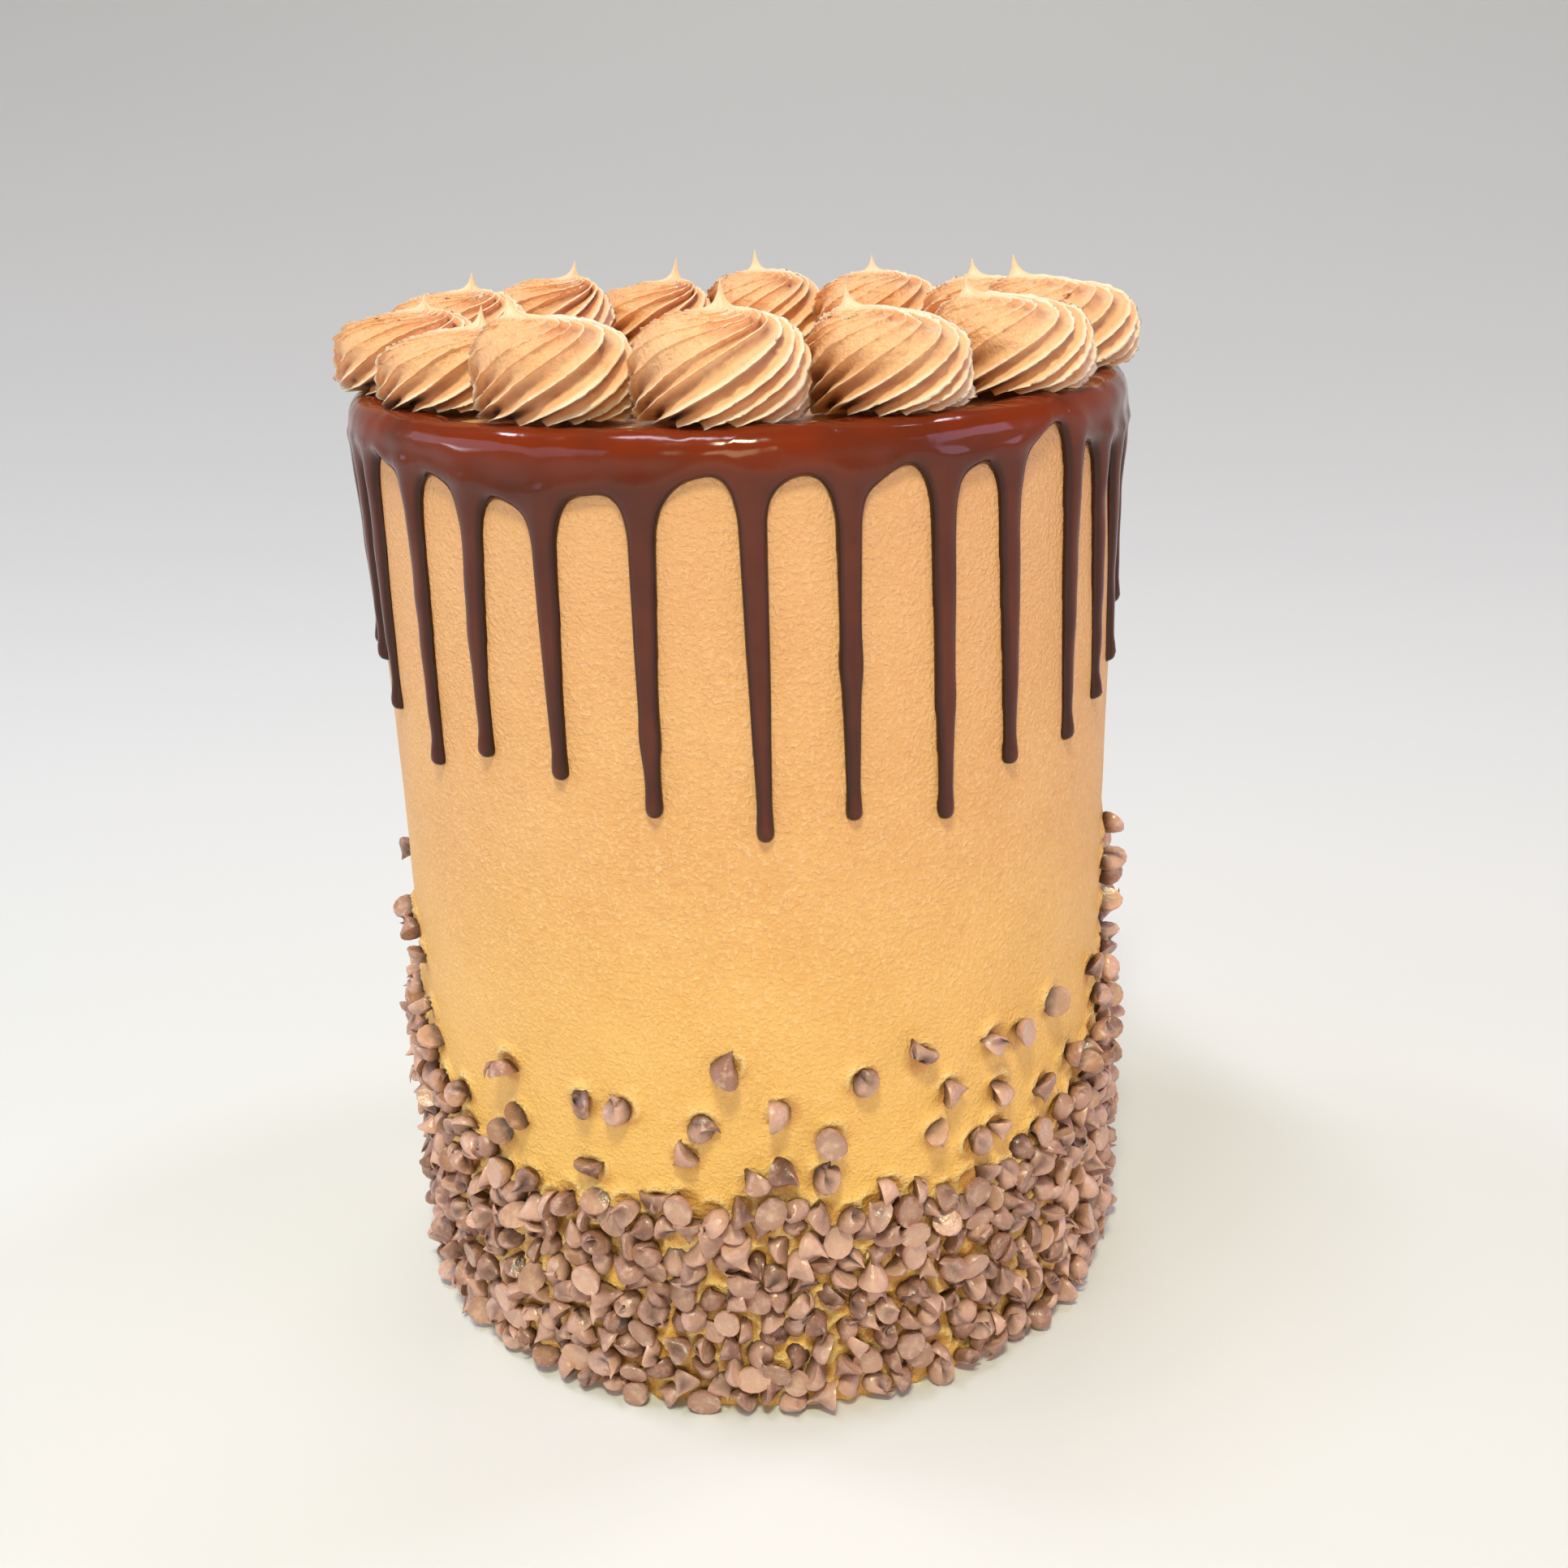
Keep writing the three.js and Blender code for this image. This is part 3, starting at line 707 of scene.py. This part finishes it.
def chips_and_places():
    loose, loose_kinds = loose_places()
    packed = packed_places(loose)
    rng = seeded("chips")
    templates = [chip_template(rng) for _ in range(CHIP_SHAPES)]
    draws = rng.uniform(size=len(packed))
    packed_kinds = np.array(["base", "tip", "side"])[np.digitize(draws, CHIP_KINDS)]
    places = np.concatenate([loose, packed])
    kinds = loose_kinds + packed_kinds.tolist()
    size = len(templates[0][0])
    points = []
    shades = []
    for (along, height, depth), kind in zip(places, kinds):
        angle = along / DEGREE
        out = around(angle, 1, 0)
        axis = chip_facing(kind, out, rng)
        side = np.cross(axis, rng.normal(size=3))
        side /= np.linalg.norm(side)
        turn = np.stack([side, np.cross(axis, side), axis])
        shape, folds = templates[rng.integers(len(templates))]
        placed = shape * rng.uniform(*CHIP_SIZES) @ turn
        placed += around(angle, CAKE_RADIUS + depth, height)
        placed[:, 2] += max(0, 0.1 - placed[:, 2].min())
        points.append(placed)
        # painted shade: darker the deeper the chip sits in the band, and in its folds
        sunk_shade = 1 - smoothstep(np.hypot(placed[:, 0], placed[:, 1]) - CAKE_RADIUS, *CHIP_SHADE_DEPTHS)
        shades.append(np.maximum(sunk_shade, np.minimum(FOLD_SHADE * folds, 1)))
    offsets = (np.arange(len(places)) * size)[:, None, None]
    faces = [(block + offsets).reshape(-1, block.shape[1])
             for block in closed_faces(len(CHIP_PROFILE), CHIP_SIDES)]
    tints = np.repeat(rng.uniform(size=len(places)), size)
    base = np.zeros(size)
    base[:CHIP_SIDES] = 0.7
    base[-1] = 1
    values = {"tint": tints, "base": np.tile(base, len(places)), "shade": np.concatenate(shades)}
    return np.concatenate(points), faces, values, places


def add_chips(material):
    points, faces, values, places = chips_and_places()
    piece = add_piece("chocolate_chips", points, faces, material, "cake")
    piece.data.set_sharp_from_angle(angle=math.radians(CHIP_SHARP))
    for kind, value in values.items():
        point_values(piece, kind, value)
    return places


# ---- Frosting ----
def frosting_rows():
    """Heights of the rows up the side, fine where the chips are."""
    fine = np.arange(0.6, CHIP_ZONE, FINE_ROW)
    coarse = np.linspace(CHIP_ZONE, CAKE_HEIGHT - CAKE_EDGE, round(
        (CAKE_HEIGHT - CAKE_EDGE - CHIP_ZONE) / COARSE_ROW))
    return np.concatenate([fine, coarse])


def chip_marks(angles, heights, places):
    """Frosting pushed up round each chip, and its shade there, on the grid of the side."""
    rng = seeded("marks")
    raised = np.zeros((len(heights), len(angles)))
    shade = np.zeros_like(raised)
    aside, up, tilt = HALO_STRAY
    along = angles * DEGREE
    for chip_along, chip_height, _ in places:
        across = shorter_way(along - chip_along)
        columns = np.nonzero(np.abs(across) < MARK_REACH)[0]
        rows = np.nonzero(np.abs(heights - chip_height) < MARK_REACH)[0]
        x = across[columns][None, :] - rng.uniform(-aside, aside)
        y = (heights[rows] - chip_height)[:, None] - rng.uniform(-up, up)
        ring = np.exp(-((np.hypot(x, y) - HALO_RADIUS) / HALO_WIDTH) ** 2)
        lopsided = 0.5 + 0.5 * np.cos(np.arctan2(y, x) - math.pi / 2 - rng.uniform(-tilt, tilt))
        window = np.ix_(rows, columns)
        raised[window] = np.maximum(raised[window], ring * lopsided)
        below = np.exp(-(np.hypot(x, y + SHADE_DROP) / SHADE_RADIUS) ** 4)
        shade[window] = np.maximum(shade[window], below)
    return raised, shade


def add_frosting(material, places):
    angles = np.arange(CAKE_COLUMNS) * 360 / CAKE_COLUMNS - 180
    heights = frosting_rows()
    grid = around(angles[None, :] + 0 * heights[:, None], CAKE_RADIUS, heights[:, None])
    band = band_top(angles)
    zone = 1 - smoothstep(grid[..., 2], band + BAND_FADE[0], band + BAND_FADE[1])
    raised, shade = chip_marks(angles, heights, places)
    lift = uneven(grid, SIDE_WAVES) + zone * (BAND_SWELL + uneven(grid, BAND_WAVES))
    lift = lift + HALO_HEIGHT * raised
    foot = [0.2 * CAKE_RADIUS, 0.6 * CAKE_RADIUS, CAKE_RADIUS - 0.6]
    rows = [around(angles, radius, 0) for radius in foot]
    rows += [around(angles, CAKE_RADIUS + row, height) for row, height in zip(lift, heights)]
    for bend in np.linspace(0, math.pi / 2, 6)[1:]:
        radius = CAKE_RADIUS - CAKE_EDGE + CAKE_EDGE * math.cos(bend)
        height = CAKE_HEIGHT - CAKE_EDGE + CAKE_EDGE * math.sin(bend)
        rows.append(around(angles, radius + lift[-1] * math.cos(bend), height))
    for radius in np.linspace(CAKE_RADIUS - 7, 3, 16):
        ring = around(angles, radius, CAKE_HEIGHT)
        ring[:, 2] += uneven(ring, TOP_WAVES) * smoothstep(CAKE_RADIUS - 4 - radius, 0, 10)
        rows.append(ring)
    points = np.concatenate([*rows, [[0, 0, CAKE_HEIGHT], [0, 0, 0]]])
    faces = closed_faces(len(rows), CAKE_COLUMNS)
    piece = add_piece("cake_frosting", points, faces, material, "cake")
    others = (len(foot), len(rows) - len(foot) - len(heights))
    for kind, value in (("raised", raised), ("shade", shade)):
        whole = np.pad(value, (others, (0, 0)))
        point_values(piece, kind, np.append(whole.ravel(), [0, 0]))


# ---- Ganache ----
def all_drips():
    """Root angle, tip angle and length of every drip round the cake."""
    rng = seeded("drips")
    first, last = FRONT_DRIPS[0][1] + 360, FRONT_DRIPS[-1][1]
    drips = list(FRONT_DRIPS)
    for i in range(1, BACK_DRIPS + 1):
        angle = last + (first - last) * i / (BACK_DRIPS + 1)
        angle += rng.uniform(-BACK_DRIP_STRAY, BACK_DRIP_STRAY)
        root = angle + rng.uniform(-BACK_DRIP_LEAN, BACK_DRIP_LEAN)
        drips.append((root, angle, rng.uniform(*BACK_DRIP_LENGTH)))
    return drips


def arch_depth(angle):
    """Depth of the rim's lower edge round the cake, apart from the drips."""
    rng = seeded("arches")
    knots = list(FRONT_ARCHES)
    back = np.arange(FRONT_ARCHES[-1][0] + 12, FRONT_ARCHES[0][0] + 355, BACK_ARCH_STEP)
    knots += [(at, rng.uniform(*BACK_ARCH_DEPTH)) for at in back]
    angles = np.array([at for at, _ in knots])
    depths = np.array([depth for _, depth in knots])
    smooth = 0
    for shift, weight in ARCH_SMOOTHING:
        at = (angle + shift - angles[0]) % 360 + angles[0]
        smooth = smooth + weight * np.interp(at, angles, depths, period=360)
    return smooth


def rounded_union(first, second, size):
    """The larger of two distances, with a fillet where they meet."""
    blend = np.maximum(size - np.abs(first - second), 0) / size
    return np.maximum(first, second) + blend ** 2 * size / 4


def drip_distance(along, down, drip, rng):
    """How deep a place lies inside one drip, seen flat, and its bulk there: below 0 is outside."""
    root, tip, length = drip
    share = np.clip((down - CAKE_EDGE) / (length - CAKE_EDGE), 0, 1)
    centre = (root + (tip - root) * smoothstep(share, 0, 0.8)) * DEGREE
    across = np.abs(shorter_way(along - centre))
    half = np.interp(share, *DRIP_WIDTHS)
    bulge = DRIP_BULGE * rng.uniform() ** 2
    bulge = bulge * np.exp(-((share - rng.uniform(*BULGE_PLACES)) / BULGE_LENGTH) ** 2)
    half = half * (1 + bulge) * rng.uniform(*DRIP_VARIES)
    edge = arch_depth(root)
    half = half + DRIP_FLARE * (1 - smoothstep(down, edge, edge + DRIP_FLARE_LENGTH))
    body = np.sqrt(half ** 2 + 1) - np.sqrt(across ** 2 + 1)
    tip_radius = DRIP_WIDTHS[1][-1]
    end = length - tip_radius
    cap = math.hypot(tip_radius, 1) - np.sqrt(across ** 2 + (down - end) ** 2 + 1)
    swell = np.exp(-((down - end + 0.5) / DROP_REACH) ** 2 - (across / DROP_REACH) ** 2)
    return np.minimum(np.where(down > end, cap, body), down - CAKE_EDGE), swell


def ganache_field():
    """A grid that is above 0 inside the ganache, unrolled: along the rim, down, outwards."""
    rng = seeded("ganache")
    count = round(GIRTH / GANACHE_CELL[0])
    along = np.arange(count) * GIRTH / count - GIRTH / 2
    down = np.arange(*GANACHE_DOWN, GANACHE_CELL[1])
    out = np.arange(-3 * GANACHE_CELL[2], GANACHE_OUT, GANACHE_CELL[2])
    s, v = np.meshgrid(along, down, indexing="ij")
    flat = around(s / DEGREE, CAKE_RADIUS, v) * [1, -1, 1]
    inner = CAKE_EDGE * (2 - math.pi / 2) - RIM_INWARD - uneven(flat * [1, 1, 0], RIM_WAVES)
    rim = np.minimum(v - inner, arch_depth(s / DEGREE) - v)
    inside = rim
    channel = np.zeros_like(s)
    drops = np.zeros_like(s)
    for drip in all_drips():
        distance, swell = drip_distance(s, v, drip, rng)
        inside = rounded_union(inside, distance, FILLET)
        drops = np.maximum(drops, swell)
        across = shorter_way(s - drip[0] * DEGREE)
        channel += np.exp(-(across / CHANNEL_WIDTH) ** 2) * smoothstep(v, 1, 9)
    channel = np.minimum(channel, 1) * (1 - smoothstep(v, *CHANNEL_END))
    bead = np.exp(-((rim - BEAD_PLACE) / BEAD_WIDTH) ** 2) * smoothstep(v, 0, CAKE_EDGE)
    onto_side = smoothstep(v, -3, 4)
    thick = RIM_TOP_THICKNESS + (RIM_THICKNESS - RIM_TOP_THICKNESS) * onto_side
    thick = thick + onto_side * (BEAD_SWELL * bead + DRIP_CHANNEL * channel)
    thick = thick + TIP_SWELL * drops + uneven(flat, GANACHE_WAVES)
    edge = np.exp(-inside / EDGE_ROUND)
    field = 1 - edge[..., None] - (np.maximum(out, 0) / thick[..., None]) ** 2
    back = (out + GANACHE_SUNK) / GANACHE_CELL[2]
    return np.minimum(field, back), (along, down, out), inside


def surface_net(field, axes):
    """Closed quad mesh of a grid's zero surface.

    The first axis closes on itself, and nothing lies inside at the ends of the others.
    """
    inside = field > 0
    counts = field.shape

    def corner(shift):
        rolled = np.roll(field, -shift[0], axis=0)
        return rolled[:, shift[1]:counts[1] - 1 + shift[1], shift[2]:counts[2] - 1 + shift[2]]

    crossings = np.zeros(corner((0, 0, 0)).shape)
    total = np.zeros((*crossings.shape, 3))
    for start in np.ndindex(2, 2, 2):
        for axis in np.flatnonzero(np.equal(start, 0)):
            end = list(start)
            end[axis] = 1
            low, high = corner(start), corner(end)
            crossed = (low > 0) != (high > 0)
            total += crossed[..., None] * start
            total[..., axis] += np.where(crossed, low / np.where(crossed, low - high, 1), 0)
            crossings += crossed
    used = crossings > 0
    number = np.full(used.shape, -1)
    number[used] = np.arange(used.sum())
    cell = np.stack(np.nonzero(used), axis=-1)
    steps = np.array([axis[1] - axis[0] for axis in axes])
    starts = np.array([axis[0] for axis in axes])
    points = starts + (cell + total[used] / crossings[used][:, None]) * steps

    quads = []
    for axis in range(3):
        at = np.stack(np.nonzero(inside != np.roll(inside, -1, axis=axis)), axis=-1)
        leaving = inside[tuple(at.T)]
        others = [other for other in range(3) if other != axis]
        corners = []
        for first, second in ((1, 1), (0, 1), (0, 0), (1, 0)):
            place = at.copy()
            place[:, others[0]] -= first
            place[:, others[1]] -= second
            place[:, 0] %= counts[0]
            corners.append(number[tuple(place.T)])
        quad = np.stack(corners, axis=-1)
        flipped = leaving if axis != 1 else ~leaving
        quads.append(np.where(flipped[:, None], quad, quad[:, ::-1]))
    return points, np.concatenate(quads)


def sampled(values, axes, points):
    """Values of a flat grid at places between its own. The first axis closes on itself."""
    starts = np.array([axis[0] for axis in axes])
    steps = np.array([axis[1] - axis[0] for axis in axes])
    place = (points - starts) / steps
    low = np.floor(place).astype(int)
    share = place - low
    total = np.zeros(len(points))
    for shift in ((0, 0), (1, 0), (0, 1), (1, 1)):
        weight = np.prod(np.where(shift, share, 1 - share), axis=1)
        column = np.clip(low[:, 1] + shift[1], 0, values.shape[1] - 1)
        total += weight * values[(low[:, 0] + shift[0]) % values.shape[0], column]
    return total


def over_edge(along, down, out):
    """Rolls the unrolled ganache over the rounded top edge of the cake."""
    arc = CAKE_EDGE * math.pi / 2
    path = down + (arc - CAKE_EDGE)
    bend = np.clip(path / CAKE_EDGE, 0, math.pi / 2)
    radius = CAKE_RADIUS - CAKE_EDGE + np.minimum(path, 0) + CAKE_EDGE * np.sin(bend)
    height = CAKE_HEIGHT - CAKE_EDGE + CAKE_EDGE * np.cos(bend) - np.maximum(path - arc, 0)
    return around(along / DEGREE, radius + out * np.sin(bend), height + out * np.cos(bend))


def relaxed(points, quads, rounds):
    """Smooths a mesh without shrinking it: each round pulls points in, then back out."""
    edges = np.concatenate([quads[:, [i, (i + 1) % 4]] for i in range(4)])
    start, end = np.concatenate([edges, edges[:, ::-1]]).T
    degree = np.bincount(start)[:, None]
    for _ in range(rounds):
        for weight in RELAX_WEIGHTS:
            near = np.stack([np.bincount(start, value[end]) for value in points.T], axis=-1)
            points = points + weight * (near / degree - points)
    return points


def add_ganache(material):
    field, axes, inside = ganache_field()
    unrolled, quads = surface_net(field, axes)
    points = relaxed(over_edge(*unrolled.T), quads, RELAX_ROUNDS)
    piece = add_piece("ganache_drip", points, [quads], material, "ganache")
    # distance in from the edge, for the painted shade along it
    point_values(piece, "edge", sampled(inside, axes[:2], unrolled[:, :2]))


# ---- Rosettes ----
def rosette_sizes(name):
    """Middle, radius, dome height, tip height and the tip's pull, read from its own node."""
    low, high = (np.array(corner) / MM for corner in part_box(name))
    corners = np.array([corner.co[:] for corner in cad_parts[name].data.vertices]) / MM
    tip = corners[np.argmax(corners[:, 2])]
    dome = corners[corners[:, 2] < tip[2] - 1, 2].max()
    middle = (low + high) / 2
    behind = smoothstep(middle[1], -0.4 * CAKE_RADIUS, 0.4 * CAKE_RADIUS)
    growth = ROSETTE_GROWTH[0] + (ROSETTE_GROWTH[1] - ROSETTE_GROWTH[0]) * behind
    radius = growth * (high - low)[:2].mean() / 2
    tall = tip[2] - CAKE_HEIGHT + NIB_EXTRA
    return middle[:2], radius, dome - CAKE_HEIGHT, tall, tip[0] - middle[0]


def rosette_meridian(wide, dome, tip):
    """Radius, height and outward normal up one rosette's side, foot to tip."""
    low = np.linspace(0, EQUATOR, 60)
    foot = np.stack([1 - FOOT_TUCK * (1 - low / EQUATOR) ** 2, low], axis=-1)
    turn = np.linspace(0, math.pi / 2, 400)[1:]
    power = 2 / SHOULDER_POWER
    over = np.stack([np.cos(turn).clip(0) ** power,
                     EQUATOR + (1 - EQUATOR) * np.sin(turn) ** power], axis=-1)
    outline = np.concatenate([foot, over]) * [wide, dome]
    outline[:, 1] += (tip - dome) * np.exp(-outline[:, 0] / (NIB_WIDTH * wide))
    fine = np.concatenate([[0], np.cumsum(np.linalg.norm(np.diff(outline, axis=0), axis=1))])
    length = np.linspace(0, fine[-1], ROSETTE_ROWS)
    radius = np.interp(length, fine, outline[:, 0])
    height = np.interp(length, fine, outline[:, 1])
    slope = np.stack([np.gradient(radius, length), np.gradient(height, length)], axis=-1)
    slope /= np.linalg.norm(slope, axis=1)[:, None]
    return radius, height, np.stack([slope[:, 1], -slope[:, 0]], axis=-1), length


def rosette_mesh(name, seed):
    """One rosette in its own node's place: fins that wind inwards up a dome to a pulled tip."""
    rng = np.random.default_rng(seed)
    middle, wide, dome, tip, pull = rosette_sizes(name)
    radius, height, normal, length = rosette_meridian(wide, dome, tip)
    step = length[1] - length[0]
    wind = RIDGE_SLOPE * smoothstep(radius, 1.5, 7) / np.maximum(radius, 3)
    twist = np.concatenate([[0], np.cumsum((wind[1:] + wind[:-1]) / 2) * step])
    phase = np.tile(RIDGE_PHASES, RIDGES)
    ridge = np.repeat(np.arange(RIDGES), len(RIDGE_PHASES))
    stray = rng.uniform(-RIDGE_UNEVEN, RIDGE_UNEVEN, RIDGES)
    turn = math.tau * (ridge + phase + stray[ridge] * (1 - phase)
                          + np.roll(stray, -1)[ridge] * phase) / RIDGES
    azimuth = turn[None, :] + twist[:, None] + rng.uniform(0, math.tau)

    crest = np.abs(2 * phase ** RIDGE_SKEW - 1) ** rng.uniform(*RIDGE_POWERS, RIDGES)[ridge]
    crest = np.broadcast_to(crest, azimuth.shape)
    depth = RIDGE_DEPTH + (RIDGE_FOOT_DEPTH - RIDGE_DEPTH) * (1 - smoothstep(height, 0, 0.35 * dome))
    strength = rng.uniform(*RIDGE_STRENGTHS, RIDGES)
    depth = np.minimum(depth, NIB_GROOVES * radius)[:, None] * strength[ridge]
    patch_turn = math.radians(PATCH_AZIMUTH + rng.uniform(-PATCH_STRAY, PATCH_STRAY))
    off_patch = np.abs((azimuth - patch_turn + math.pi) % math.tau - math.pi)
    patch = 1 - smoothstep(off_patch, 0, math.radians(2 * PATCH_WIDTH))
    patch = patch * smoothstep(height[:, None], 0.35 * dome, 0.72 * dome)
    depth = depth * (1 - PATCH_CALM * patch)
    spare = TEAR_ROWS // 2
    rough = rng.normal(size=(ROSETTE_ROWS + 2 * spare, RIDGES))
    slow = sum(rough[i:i + ROSETTE_ROWS] for i in range(TEAR_ROWS)) / TEAR_ROWS
    torn = TEAR_FINE * rough[spare:-spare] + TEAR_SLOW * slow
    serration = torn[:, ridge] * crest ** 4 * smoothstep(radius, 2, 8)[:, None]
    inward = depth * (1 - crest) - serration

    across = radius[:, None] - inward * normal[:, 0:1]
    tall = height[:, None] - inward * normal[:, 1:2]
    sag = RIDGE_SAG * crest ** 3 * (smoothstep(height, 1, 6) * smoothstep(radius, 3, 10))[:, None]
    tall = tall - sag * (depth / RIDGE_DEPTH)
    follow = (1 - np.minimum(radius / wide, 1)) ** PULL_POWER
    follow = follow * smoothstep(height, EQUATOR * dome, 0.9 * dome)
    x = across * np.cos(azimuth) + pull * follow[:, None]
    y = across * np.sin(azimuth) + rng.uniform(-PULL_ASIDE, PULL_ASIDE) * follow[:, None]
    points = np.stack([x, y, tall], axis=-1)
    radial = np.stack([np.cos(azimuth), np.sin(azimuth), 0.4 + 0 * azimuth], axis=-1)
    calm = smoothstep(radius, 1, 8)[:, None]
    for size, wavelength, further in ROSETTE_WAVES:
        lift = size * calm * waves(points, wavelength, seed + further)
        points = points + lift[..., None] * radial
    for _ in range(PITS):
        row = rng.integers(PIT_MARGINS[0], ROSETTE_ROWS - PIT_MARGINS[1])
        column = rng.integers(azimuth.shape[1])
        off = np.linalg.norm(points - points[row, column], axis=-1)
        deep = rng.uniform(*PIT_DEPTHS) * np.exp(-(off / rng.uniform(*PIT_RADII)) ** 4)
        points = points - deep[..., None] * radial
    outward = middle / np.linalg.norm(middle)
    outer = smoothstep(points[..., :2] @ outward, -wide, 0.6 * wide)
    share = np.clip(tall / tip, 0, 1)
    points[..., 2] += (1 - share) ** 6 * RIM_THICKNESS * outer
    points += [middle[0], middle[1], CAKE_HEIGHT - ROSETTE_SUNK]
    # painted shade mask: the valleys low on the dome, where the ridges are deepest
    low = (1 - smoothstep(height[:, None], 0, 0.3 * dome)) * (1 - smoothstep(crest, 0, 0.3))
    # the crest share, evened out on the smooth patch, carries the painted highlight on the crests and
    # the painted shade in the valleys
    crest = crest + (0.5 - crest) * PATCH_CALM * patch
    return points, crest * calm + 0.8 * (1 - calm), patch * calm, low


def add_rosettes(material):
    faces = closed_faces(ROSETTE_ROWS, RIDGES * len(RIDGE_PHASES))
    for index, name in enumerate(ROSETTES):
        grid, *values = rosette_mesh(name, SEEDS["rosettes"] + index)
        tip = grid[-1].mean(axis=0) + [0, 0, 0.1]
        foot = grid[0].mean(axis=0)
        points = np.concatenate([grid.reshape(-1, 3), [tip, foot]])
        piece_name = name.replace("rosette", "piped_rosette")
        piece = add_piece(piece_name, points, faces, material, name)
        # crest and low carry the painted highlight and the painted shade of the rosettes
        for kind, value in zip(("crest", "patch", "low"), values):
            point_values(piece, kind, np.concatenate([value.ravel(), [value[-1].mean(), 0]]))


# ---- Studio ----
def add_backdrop():
    """A pale floor that curves up into a far wall all round."""
    material = new_material("backdrop", Roughness=1, Specular_IOR_Level=0, Base_Color=FLOOR_COLOUR)[0]
    columns = 96
    profile = [(0.06, 0), (0.3, 0)]
    profile += [(FLOOR_RADIUS + WALL_REACH * share, WALL_HEIGHT * share ** WALL_CURVE)
                for share in np.linspace(0, 1, 30)]
    angles = np.arange(columns) * 360 / columns
    rows = [around(angles, radius, height) for radius, height in profile]
    points = np.concatenate([*rows, [[0, 0, 0]]])
    quads = grid_faces(len(rows), columns)[:, ::-1]
    centre = fan_faces(0, columns, len(rows) * columns, True)
    backdrop = new_object("backdrop", points, [quads, centre], material)


def add_light(name, place, width, height, power, colour):
    """A soft box that looks at the middle of the cake."""
    data = bpy.data.lights.new(name, "AREA")
    data.shape = "RECTANGLE"
    data.size = width
    data.size_y = height
    data.energy = power
    data.color = colour
    light = bpy.data.objects.new(name, data)
    offset = np.array(place) - [0, 0, AIM_HEIGHT]
    back = offset / np.linalg.norm(offset)
    side = np.cross([0, 0, 1], back)
    side /= np.linalg.norm(side)
    stand(light, side, np.cross(back, side), back, place)
    light.visible_camera = False


def add_lights():
    world = bpy.data.worlds.new("world")
    world.use_nodes = True
    background = world.node_tree.nodes["Background"]
    background.inputs["Color"].default_value = SKY_COLOUR
    background.inputs["Strength"].default_value = SKY_STRENGTH
    bpy.context.scene.world = world
    for light in LIGHTS:
        add_light(*light)
    view = bpy.context.scene.view_settings
    view.view_transform = "Standard"
    view.look = "None"


def main():
    add_camera()
    frosting = smooth_frosting()
    rosette_cream = piped_cream()
    places = add_chips(chip_chocolate())
    add_frosting(frosting, places)
    add_ganache(glossy_ganache())
    add_rosettes(rosette_cream)
    add_backdrop()
    add_lights()


main()
